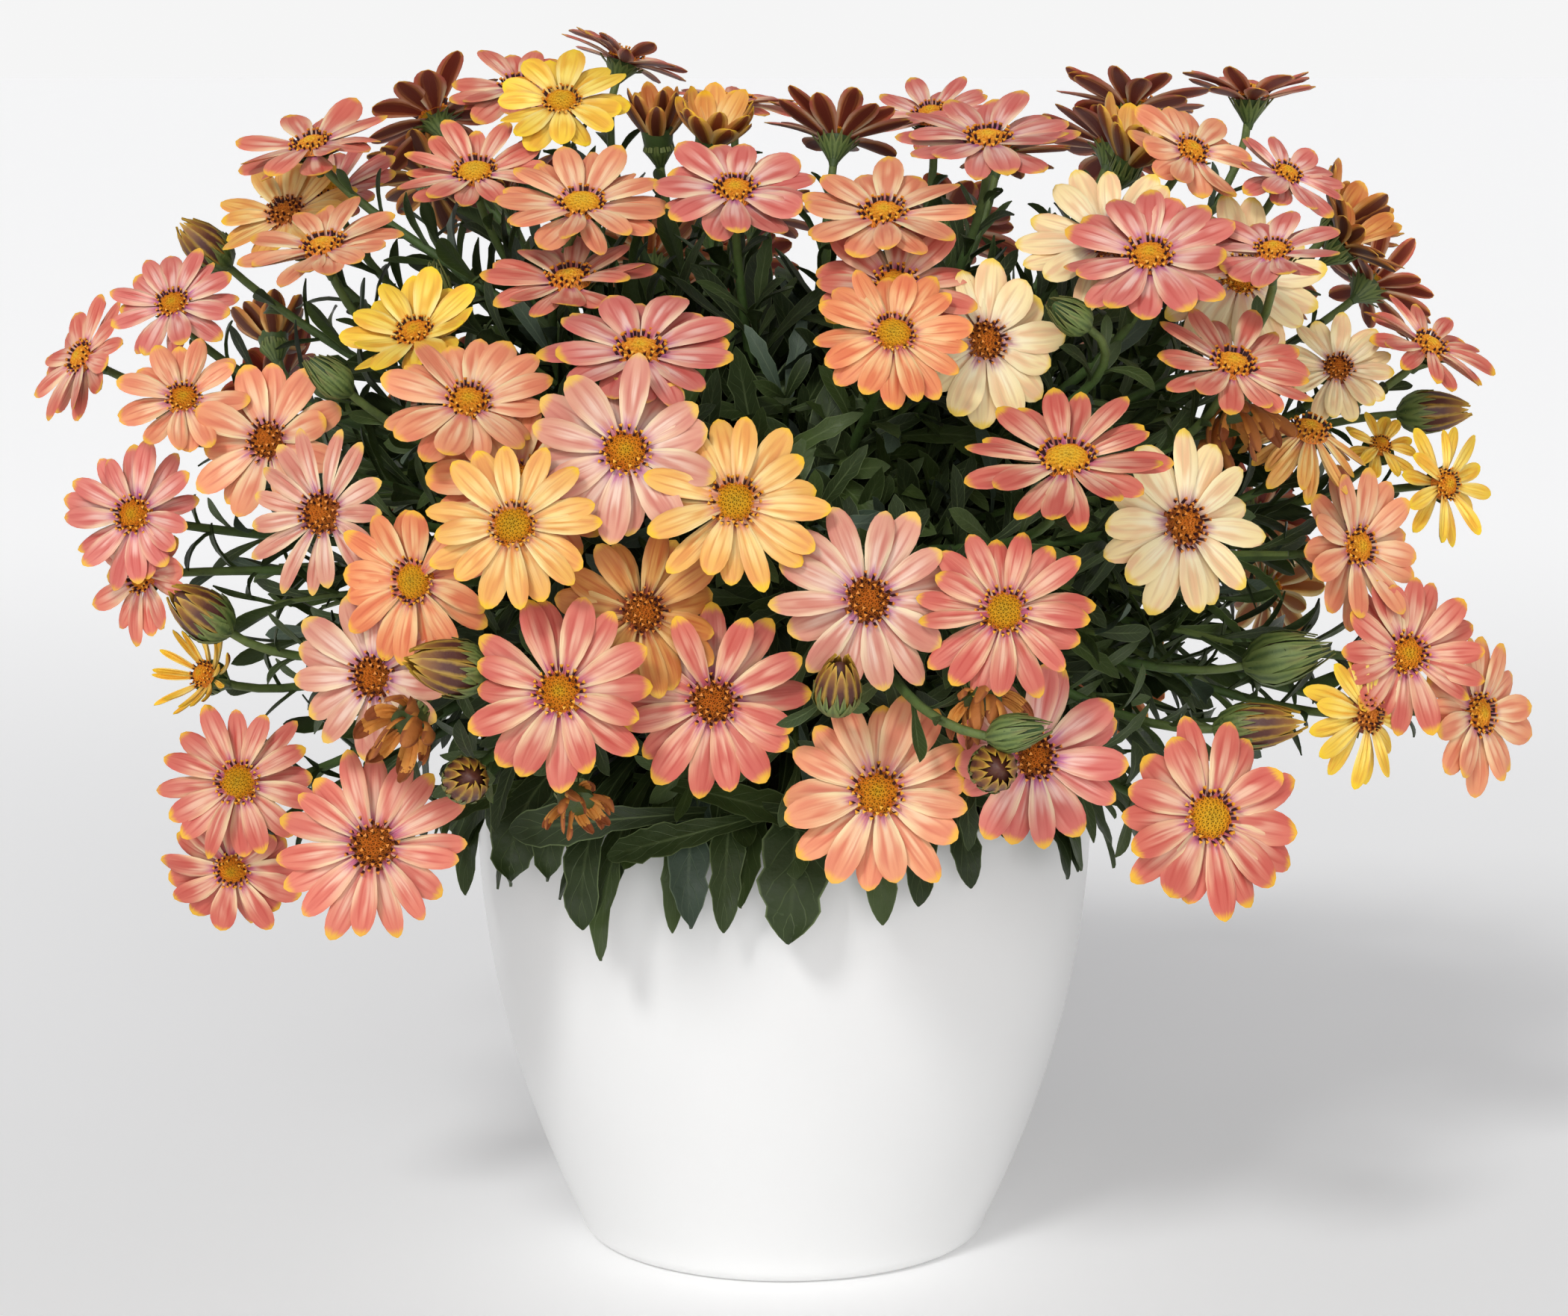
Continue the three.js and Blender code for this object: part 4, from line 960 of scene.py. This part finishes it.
def add_calyx(shape, centre, normal, radius, cup, random):
    """The green cup under a head, with a row of pointed bracts."""
    axes = axes_of(normal)
    rise = math.tan(math.radians(min(cup, CALYX_CUP)))
    narrow = 0.7 if cup < 0 else 1.0
    brim = 3.1 * rise - 1.5
    profile = [(1.1, -9.5), (1.7, -7.4), (2.9 * narrow, -4.6), (4.3 * narrow, -2.7), (5.2 * narrow, brim),
               (2.0, brim + 0.3)]
    shape.sweep(revolved(profile, 12) @ axes + centre, BRACT_KIND, along=0.3)
    spin = spun(random, BRACTS)
    ends = random.uniform(0.26, 0.36, BRACTS) * radius * math.cos(math.radians(cup))
    tips = ends * rise - random.uniform(1.6, 2.6, BRACTS)
    out = np.column_stack([np.tile([1.7, 3.2 * narrow, 4.9 * narrow], (BRACTS, 1)), ends])
    high = np.column_stack([np.tile([-7.2, -4.8, -2.6], (BRACTS, 1)), tips])
    paths, away = polar(spin[:, None], out, high), polar(spin, 1.0, -1.0)[:, None]
    add_strips(shape, paths @ axes + centre, [1.0, 2.4, 1.9, 0.15], 0.35, away @ axes, BRACT_KIND,
               random.uniform(0, 1, BRACTS))


# ---------------------------------------------------------------- stalks

ROOT_AT = np.array([0.26, 0.26, 0.2])  # of the way from the middle of the core to a head
LEAVE_REACH, ARRIVE_REACH = 0.35, 0.3
BENDS = [(0, 0)] + [(bend, turn) for bend in (14, 28, 42) for turn in range(0, 360, 45)]  # tried in turn
BEND_COST = 1 / 200
PATH_POINTS = 24
STALK_MARGIN = 1.6
CROWN_TOP = np.array([0.0, 0.0, 132.0])


def clear_path(foot, normal, own=NO_HEAD):
    """The stalk's curve from the core to a head, bent to the side where it passes most heads."""
    outward = foot - CORE_CENTRE
    root = outward * ROOT_AT + CORE_CENTRE
    reach = np.linalg.norm(foot - root)
    outward = unit(outward)
    across = unit(np.cross(outward, UP))
    above = unit(np.cross(across, outward))
    stations = np.linspace(0, 1, PATH_POINTS + 1)
    best, best_cost = None, math.inf
    for bend, turn in BENDS:
        side = across * math.cos(math.radians(turn)) + above * math.sin(math.radians(turn))
        controls = (root, root + outward * LEAVE_REACH * reach + side * bend,
                    foot - normal * ARRIVE_REACH * reach + side * 0.5 * bend, foot)
        cost = touches(bezier(controls, stations), STALK_MARGIN, own).sum() + bend * BEND_COST
        if cost < best_cost:
            best, best_cost = controls, cost
    return best


stalks = [clear_path(centre - normal * (HEAD_DEPTH + 0.35), normal, own)
          for own, (_, centre, normal, *_) in enumerate(heads)]
for _, x, y, z, length, _, azimuth, elevation in BUDS:
    tip = facing(azimuth, elevation)
    stalks.append(clear_path(point(x, y, z) - tip * 0.4 * length, tip))
for _, x, y, z, _, azimuth, elevation in SPENT:
    stalks.append(clear_path(point(x, y, z), facing(azimuth, elevation)))

# ---------------------------------------------------------------- leaves

LEAF_KIND, GREY_KIND = 0, 1
LEAF_PLACES = np.array([0, 0.24, 0.5, 0.64, 0.74, 0.84, 0.93, 1.0])
TESTED_PLACES = [3, 5, 7]  # where a leaf has to be clear of other things, as indices
TOOTHED_WIDTHS = np.array([0.18, 0.34, 0.84, 0.72, 1.0, 0.66, 0.48, 0.03])
PLAIN_WIDTHS = np.array([0.18, 0.40, 0.82, 0.98, 1.0, 0.84, 0.5, 0.03])
GREY_FROM = 0.93  # leaves whose tone is over this are grey
LEAF_MARGIN = 0.6
TOOTHED_LENGTH, TOOTHED_SHARE = 26, 0.45  # this share of the leaves over this length has teeth


def clear_of_pot(points):
    level = np.hypot(points[:, 0], points[:, 1])
    return (points[:, 2] > POT_HEIGHT + 2) | (level > POT_FOOT + POT_FLARE + 3)


def add_leaves(shape, leaves):
    """Adds the leaves that are clear of the heads and the pot, from what leafy says of each."""
    rows = np.array(leaves)
    root, direction, face = rows[:, 0:3], unit(rows[:, 3:6]), rows[:, 6:9]
    length, width, bend, fold, toothed, tone = rows[:, 9:].T
    face = unit(face - (face * direction).sum(-1, keepdims=True) * direction)
    middles = (LEAF_PLACES[1:] + LEAF_PLACES[:-1]) / 2
    steps = np.diff(LEAF_PLACES) * length[:, None]
    slope = bend[:, None] * (middles - 0.25)
    out, down = summed(steps * np.cos(slope)), summed(steps * np.sin(slope))
    paths = root[:, None] + out[..., None] * direction[:, None] - down[..., None] * face[:, None]
    tests = paths[:, TESTED_PLACES].reshape(-1, 3)
    hit = touches(tests, LEAF_MARGIN) | ~clear_of_pot(tests)
    kept = ~hit.reshape(len(rows), -1).any(axis=1)
    widths = np.where(toothed[:, None] > 0.5, TOOTHED_WIDTHS, PLAIN_WIDTHS) * width[:, None]
    thick = np.interp(LEAF_PLACES, [0, 1], [0.9, 0.35])
    faces = (face + 0.0001 * np.cross(face, direction))[:, None]  # never quite along a leaf that bends
    grey = tone > GREY_FROM
    for kind, chosen in ((LEAF_KIND, kept & ~grey), (GREY_KIND, kept & grey)):
        add_strips(shape, paths[chosen], widths[chosen], thick, faces[chosen], kind, tone[chosen],
                   fold[chosen, None, None], LEAF_PLACES)


def leafy(controls, places, lengths, lean, random):
    """Leaves in a spiral along a curve: root, direction, face, length, width, bend, fold, teeth and tone."""
    spots, tangents = bezier(controls, places), bezier_tangent(controls, places)
    x, y = side_axes(tangents)
    start = random.uniform(0, 6)
    for index, (spot, tangent) in enumerate(zip(spots, tangents)):
        turn = start + index * GOLDEN_ANGLE
        spoke = x[index] * math.cos(turn) + y[index] * math.sin(turn)
        rise = lean[index] + random.normal(0, 0.15)
        direction = spoke * math.cos(rise) + tangent * math.sin(rise) + UP * 0.15
        length = lengths[index] * random.uniform(0.75, 1.15)
        width = 2.0 + length * random.uniform(0.10, 0.18)
        bend, fold = random.normal(0.5, 0.45), random.uniform(0.05, 0.5)
        toothed = length > TOOTHED_LENGTH and random.random() < TOOTHED_SHARE
        yield (*spot, *direction, *tangent, length, width, bend, fold, toothed, random.random())


STALK_LEAF_STEP = 6.0
STALK_LEAF_END = 0.86
SHOOTS = 205
SHOOT_LEAVES = 16
SHOOT_REACH = np.array([160.0, 114.0, 100.0])
SHOOT_FALL = 1.55  # the shoots point from straight up, 1, to 1 less this
SHOOT_LOWEST = 152  # where the lowest shoots end


def stalk_leaves(index, controls):
    size = np.linalg.norm(controls[3] - controls[0])
    places = np.arange(0.03, STALK_LEAF_END, STALK_LEAF_STEP / size)
    lengths = np.interp(places, [0, 0.35, 0.7, STALK_LEAF_END], [44, 36, 20, 11])
    return leafy(controls, places, lengths, np.full(len(places), 0.75), seeded(f"stalk{index}"))


def shoot(index):
    """The curve of a leafy shoot inside the plant, and its leaves."""
    random = seeded(f"shoot{index}")
    height = 1 - SHOOT_FALL * (index + 0.5) / SHOOTS
    out = polar(index * GOLDEN_ANGLE, math.sqrt(max(0, 1 - height**2)), height)
    start = CORE_CENTRE + out * CORE_RADII * 0.25
    end = CORE_CENTRE + out * SHOOT_REACH * random.uniform(0.62, 1.04)
    end[2] = max(end[2], SHOOT_LOWEST)
    middle = (start + end) / 2 + UP * random.uniform(-4, 14)
    controls = (start, start + (middle - start) * 0.6, end - (end - middle) * 0.5 + UP * 4, end)
    places = np.linspace(0.15, 1.0, SHOOT_LEAVES)
    lengths = np.interp(places, [0.15, 0.6, 1.0], [46, 42, 20])
    lean = np.interp(places, [0, 0.7, 1.0], [0.45, 0.6, 1.15])
    return controls, leafy(controls, places, lengths, lean, random)


# Broad leaves, whose outline is given as places along the leaf and shares of its width there.
BROAD_STEPS = 22
BROAD_OUTLINE = ([0, 0.38, 0.58, 0.74, 0.84, 0.91, 0.955, 0.985, 1],
                 [0.2, 0.40, 0.74, 1, 0.94, 0.77, 0.54, 0.28, 0.05])
BROAD_ACROSS = np.array([1.0, 0.5, 0.0, -0.5, -1.0, 0.0])
BROAD_RISE = np.array([0.16, 0.10, 0.0, 0.10, 0.16, 0.0])  # of the half width, over the midrib
BROAD_UNDER = np.array([0.0, 0.0, 0.0, 0.0, 0.0, 1.0])
BROAD_THICKNESS = 0.7
TEETH, TEETH_FROM, TEETH_TO = 0.17, 0.42, 0.9  # their depth, of the half width, and where they start and end
# Leaves that lie along the front of the rim: root, middle and tip, then the width.
LYING_LEAVES = [
    ((-16, -90, 150), (-46, -122, 154), (-78, -98, 146), 13),
    ((-20, -92, 152), (4, -122, 156), (30, -108, 147), 15),
    ((-44, -70, 156), (-22, -116, 160), (8, -106, 150), 13),
    ((-60, -66, 156), (-84, -96, 156), (-104, -76, 144), 12),
    ((24, -82, 156), (52, -112, 160), (86, -86, 148), 14),
    ((10, -84, 152), (-24, -118, 150), (-50, -104, 140), 12),
]
# Smaller leaves between them, in layers: how many, how far out the crest is (from, to), how high it is
# (from, to) and how far the tip hangs below RIM_TIP (from, to).
RIM_TIP = 146
RIM_LAYERS = ((30, 90, 98, 158, 166, 4, 24), (26, 94, 103, 164, 174, 10, 30), (30, 84, 96, 152, 160, -2, 12))
GREY_RIM_LEAF, GREY_SHARE = 4, 0.1  # which large leaf is grey, and how many of the smaller ones


def add_broad(shape, root, crest, tip, width, random, kind, slim=0.0, roll=0.0):
    """One broad leaf: narrow at its foot, widest past its middle, with coarse uneven teeth."""
    stations = 1 - (1 - np.linspace(0, 1, BROAD_STEPS)) ** 1.35  # closer together towards the tip
    t, order = stations[:, None], np.arange(BROAD_STEPS)
    path = (1 - t) ** 2 * root + 2 * (1 - t) * t * crest + t**2 * tip
    path = path + unit(np.cross(tip - root, UP) + 0.001) * (random.normal(0, 2.5) * np.sin(math.pi * t))
    base = np.interp(stations, *BROAD_OUTLINE) * (1 - slim * np.clip(stations - 0.5, 0, 1))
    toothed = (stations > TEETH_FROM) & (stations < TEETH_TO)

    def edge():
        notch = np.where(toothed, (order + random.integers(3)) % 3 / 2, 0)
        return (1 - TEETH * notch * random.uniform(0.6, 1.4, BROAD_STEPS))[:, None]

    left, right = edge(), edge()
    tangents = unit(np.gradient(path, axis=0))
    face = unit(np.cross(np.cross(tangents, UP), tangents))
    turn = roll + random.normal(0, 0.35) * t
    across = np.cross(face, tangents)
    across, face = across * np.cos(turn) + face * np.sin(turn), face * np.cos(turn) - across * np.sin(turn)
    half = 0.5 * width * base[:, None]
    reach = np.where(BROAD_ACROSS > 0, left, right) * half * BROAD_ACROSS
    wave = 0.05 * width * np.sin(order * 1.3 + random.uniform(0, 6))[:, None] * np.abs(BROAD_ACROSS)
    rise = BROAD_RISE * half + wave * base[:, None] - BROAD_THICKNESS * BROAD_UNDER
    ring = path[:, None] + reach[..., None] * across[:, None] + rise[..., None] * face[:, None]
    shape.sweep(ring, kind, random.uniform(0.1, 0.7), along=t, across=BROAD_ACROSS, under=BROAD_UNDER)


def rim_leaves(shape):
    """The large leaves over the rim, those that lie along it, and smaller ones between them."""
    random = seeded("rim")
    for index, (*places, width) in enumerate(RIM_LEAVES):
        kind = GREY_KIND if index == GREY_RIM_LEAF else LEAF_KIND
        add_broad(shape, *map(np.array, places), width, random, kind, 0.3 if index % 3 == 1 else 0.0)
    for *places, width in LYING_LEAVES:
        root, crest, tip = map(np.array, places)
        roll = math.copysign(1.0, tip[0] - root[0])
        add_broad(shape, root, crest, tip, width, random, LEAF_KIND, 0.0, roll)
    for count, near, far, low, high, least, most in RIM_LAYERS:
        for index in range(count):
            out = polar(index * 2 * math.pi / count + random.normal(0, 0.1), 1.0, 0.0)
            tip = out * random.uniform(104, 110) + UP * (RIM_TIP - random.uniform(least, most))
            crest = out * random.uniform(near, far) + UP * random.uniform(low, high)
            root = out * 46 + UP * random.uniform(158, 172)
            width, kind = random.uniform(8, 14), GREY_KIND if random.random() < GREY_SHARE else LEAF_KIND
            add_broad(shape, root, crest, tip, width, random, kind, random.uniform(0, 0.6))


# ---------------------------------------------------------------- buds

BUD_SIDES = 16
# Profiles in shares of the bud's diameter (outwards) and length (up).
BUD_PROFILE = (
    (0.05, -0.5), (0.3, -0.4), (0.43, -0.2), (0.38, 0.02), (0.26, 0.24), (0.12, 0.36), (0.02, 0.40))
BUD_BRACTS = ([-0.5, -0.4, -0.2, 0.02, 0.24, 0.5], [0.1, 0.33, 0.48, 0.45, 0.33, 0.12])
BUD_SHUT_RAYS = ([-0.3, -0.1, 0.15, 0.36, 0.5], [0.4, 0.46, 0.38, 0.22, 0.07])
GREEN_SIZE = 0.86
GREEN_COVER, STRIPED_COVER = 0.98, 0.56  # how far the bracts reach up


def add_bud(shape, row, random):
    """A bud: a core, two layers of bracts and, on a striped one, shut rays."""
    name, x, y, z, length, diameter, azimuth, elevation = row
    axes, centre = axes_of(facing(azimuth, elevation)), point(x, y, z)
    green = name in GREEN_BUDS
    if green:
        length, diameter = GREEN_SIZE * length, GREEN_SIZE * diameter
    profile = np.array(BUD_PROFILE)
    shape.sweep(revolved(profile * (diameter, length), BUD_SIDES) @ axes + centre,
                STEM_KIND if green else BUD_KIND, along=profile[:, 1:] + 0.1, across=0.4)

    def add_scales(spin, high, out, widths, thick, kind, lift=0.0):
        count = len(spin)
        paths, away = polar(spin[:, None], out * diameter, high * length), polar(spin, 1.0, 0.0)[:, None]
        widths = 2 * math.pi / count * diameter * np.array(widths)
        add_strips(shape, paths @ axes + centre, widths, thick, away @ axes, kind,
                   random.uniform(0, 1, count), lift)

    cover = GREEN_COVER if green else STRIPED_COVER
    for layer, (count, reach, wide) in enumerate(((15, cover, 0.84), (11, 0.78 * cover, 1.0))):
        spin = spun(random, count) + random.normal(0, 0.06, count)
        share = np.linspace(0, 1, 6)
        high = -0.5 + share * reach * random.uniform(0.84, 1.06, (count, 1))
        out = np.interp(high, *BUD_BRACTS) + 0.012 * layer
        out = out + 0.06 * share**2 * random.uniform(0, 1, (count, 1))
        widths = 0.45 * wide * np.array([0.7, 1.0, 1.05, 0.85, 0.5, 0.06])
        add_scales(spin, high, out, widths, 0.3, BRACT_KIND)
    if not green:
        spin = spun(random, 12)
        share = np.linspace(0, 1, 7)
        high = -0.3 + share * (0.78 + random.uniform(-0.14, 0.05, (12, 1)))
        out = np.interp(high, *BUD_SHUT_RAYS) + 0.11 * share**3 * random.uniform(0, 1, (12, 1))
        widths = 0.42 * np.array([0.8, 1.0, 1.1, 1.1, 1.0, 0.7, 0.1])
        add_scales(spin, high, out, widths, 0.5, BUD_KIND, 0.2)


# ---------------------------------------------------------------- make the plant

RAY_COUNTS = (15, 18)  # where they can't be counted: from 15 up to, but not, 18
SPENT_CUP, SPENT_COUNT, SPENT_WITHER = 52, 13, 0.8

heads_by_name = {head[0]: (own, *head[1:]) for own, head in enumerate(heads)}
for part in frame["record"]["subparts"]:
    node = part["node"]
    if not node.startswith("blooms_"):
        continue
    names = node.split("_")[1:]
    rays, discs = Shape(), Shape()
    shades = {name: SHADES.get(name, heads_by_name[name][-1]) for name in names}
    colours = sorted(set(shades.values()))
    for name in names:
        own, *head, _ = heads_by_name[name]
        random = seeded(name)
        count = RAYS.get(name, int(random.integers(*RAY_COUNTS)))
        kind, narrow = colours.index(shades[name]), NARROW_RAYS.get(name, 1.0)
        add_rays(rays, *head, count, random, own, kind, narrow=narrow)
        add_disc(discs, *head, DISC_AGES.get(name, "ripe"), random)
    tail = "_".join(names)
    rays.make(f"rays_{tail}", [RAY_SURFACES[colour] for colour in colours], [node], part["material_slot"])
    discs.make(f"discs_{tail}", DISCS, [node], "petals_yellow", 40)


def add_stems(shape, curves, count, radii, sides, places):
    """Tubes along curves; places are what the material reads at their two ends."""
    paths = np.stack([bezier(controls, np.linspace(0, 1, count)) for controls in curves])
    shape.sweep(tubes(paths, radii, sides), STEM_KIND, along=np.linspace(*places, count)[:, None])


GREEN_NODE = "stems_and_leaves"
stems = Shape()
add_stems(stems, stalks, 16, np.interp(np.linspace(0, 1, 16), [0, 0.3, 1], [2.0, 1.6, 1.25]), 7, (0, 1))
feet = [CROWN_TOP + (root - CORE_CENTRE) * [0.12, 0.12, 0] for root, *_ in stalks]
lower = [(foot, foot + UP * 22, root - (bend - root) * 0.5, root)
         for foot, (root, bend, *_) in zip(feet, stalks)]
add_stems(stems, lower, 7, np.linspace(2.8, 2.0, 7), 6, (-0.4, 0))
crown = np.linspace([0, 0, 99], [0, 0, 138], 6)
stems.sweep(tubes(crown, [6.5, 7, 7.4, 7.6, 7.2, 4.0], 14), STEM_KIND, along=-0.5)
for head in heads:
    add_calyx(stems, *head[1:5], seeded(head[0] + "calyx"))
for row in BUDS:
    add_bud(stems, row, seeded(row[0]))
for name, x, y, z, diameter, azimuth, elevation in SPENT:
    random = seeded(name)
    spent = point(x, y, z), facing(azimuth, elevation), diameter / 2, SPENT_CUP
    add_rays(stems, *spent, SPENT_COUNT, random, kind=SPENT_KIND, wither=SPENT_WITHER)
    add_calyx(stems, *spent, random)

shoots = [shoot(index) for index in range(SHOOTS)]
add_stems(stems, [controls for controls, _ in shoots], 8, np.linspace(1.8, 0.8, 8), 5, (0, 1))
stems.make("stems_and_buds", GREENS, [GREEN_NODE], "foliage")

shape = Shape()
add_leaves(shape, [leaf for _, leaves in shoots for leaf in leaves])
shape.make("leaves_of_shoots", [LEAF, GREY_LEAF], [GREEN_NODE], "foliage")
shape = Shape()
add_leaves(shape, [leaf for index, controls in enumerate(stalks) for leaf in stalk_leaves(index, controls)])
rim_leaves(shape)
shape.make("leaves_of_stalks", [LEAF, GREY_LEAF], [GREEN_NODE], "foliage")

# ---------------------------------------------------------------- pot and soil

POT_SIDES = 144
FOOT_ROUND = 6
RIM_ROUND = 1.1
WALL_STEPS = 26
DRAIN_HOLES, DRAIN_RADIUS, DRAIN_CIRCLE = 5, 4, 38


def pot_radius(height):
    return POT_FOOT + POT_FLARE * (1 - (1 - height / POT_HEIGHT) ** POT_SWELL)


def pot_profile():
    """From the middle of the underside, out and up the wall, over the rim and down the inside."""
    foot, rim = np.radians(range(0, 105, 15)), np.radians([25, 50, 75, 105, 130, 155])
    corner = zip(pot_radius(FOOT_ROUND) - FOOT_ROUND * (1 - np.sin(foot)), FOOT_ROUND * (1 - np.cos(foot)))
    heights = np.linspace(FOOT_ROUND, POT_HEIGHT - RIM_ROUND, WALL_STEPS)[1:]
    wall = [(pot_radius(h), h) for h in heights]
    edge = pot_radius(POT_HEIGHT) - RIM_ROUND * (1 - np.cos(rim))
    top = zip(edge, POT_HEIGHT - RIM_ROUND * (1 - np.sin(rim)))
    inside = [(radius - POT_WALL, h) for radius, h in wall[::-1]]
    floor = [(pot_radius(FOOT_ROUND) - POT_WALL - 3, POT_FLOOR + 0.4)]
    floor += [(radius, POT_FLOOR) for radius in (pot_radius(0) - 2 * FOOT_ROUND, 30, 1)]
    return [(1, 0), (20, 0), (40, 0), *corner, *wall, *top, *inside, *floor]


def drill(piece):
    """Cuts the drain holes through the floor of the pot."""
    drills = Shape()
    for hole in range(DRAIN_HOLES):
        place = polar((hole + 0.5) / DRAIN_HOLES * 2 * math.pi, DRAIN_CIRCLE, 0)
        drills.sweep(tubes(np.linspace(place - UP * 10, place + UP * 10, 3), np.full(3, DRAIN_RADIUS), 20))
    cutter = bpy.data.objects.new("drills", drills.mesh("drills"))
    scene.collection.objects.link(cutter)
    cut = piece.modifiers.new("drain", "BOOLEAN")
    cut.operation, cut.object, cut.solver = "DIFFERENCE", cutter, "EXACT"
    depsgraph = bpy.context.evaluated_depsgraph_get()
    done = bpy.data.meshes.new_from_object(piece.evaluated_get(depsgraph))
    piece.modifiers.clear()
    piece.data = done
    bpy.data.objects.remove(cutter)


shape = Shape()
shape.sweep(revolved(pot_profile(), POT_SIDES))
drill(shape.make("pot_shell", [POT], ["pot"], "pot_plastic", 40))

SOIL_SIDES = 96
LUMP_HEIGHT = 0.99
CRUMBS, CRUMB_SIDES = 260, 6
CRUMB_RINGS = ((0.5, -0.8), (1.0, -0.2), (0.9, 0.4), (0.3, 0.8))  # how wide and high, of the crumb's size


def add_soil():
    """A root ball with a crumbly top, and loose crumbs on it."""
    random = seeded("soil")
    shape = Shape()
    edge = pot_radius(SOIL_TOP) - POT_WALL - SOIL_GAP
    wall = [(pot_radius(h) - POT_WALL - SOIL_GAP, h) for h in (12, 30, 50, 70, 90, 110, SOIL_TOP - 4)]
    top = [(edge * share, SOIL_TOP - 1 + 2 * (1 - share)) for share in np.linspace(0.97, 0.03, 22)]
    rings = revolved([(1, 5), (30, 5), (pot_radius(0) - 14, 5), *wall, *top], SOIL_SIDES)
    x, y, z = np.moveaxis(rings, -1, 0)
    lumps = np.sin(0.21 * x + 1.3) * np.sin(0.17 * y)
    lumps = lumps + 0.6 * np.sin(0.5 * x - 0.31 * y) + 0.4 * np.sin(0.9 * y + 0.7 * x)
    rings[..., 2] += np.where(z > SOIL_TOP - 2, LUMP_HEIGHT * lumps + random.normal(0, 0.3, z.shape), 0)
    shape.sweep(rings)
    far = np.sqrt(random.uniform(0, 1, CRUMBS)) * (edge - 3)
    middle = polar(random.uniform(0, 6.283, CRUMBS), far, SOIL_TOP + 1.0)[:, None]
    size = random.uniform(0.8, 2.4, CRUMBS)[:, None]
    rings = []
    for wide, high in CRUMB_RINGS:
        reach = size * wide * random.uniform(0.7, 1.3, (CRUMBS, CRUMB_SIDES))
        rings.append(middle + polar(turns(CRUMB_SIDES), reach, size * high))
    shape.sweep(np.stack(rings, axis=1))
    shape.make("soil_crumbs", [SOIL], ["soil"], "potting_soil")


add_soil()
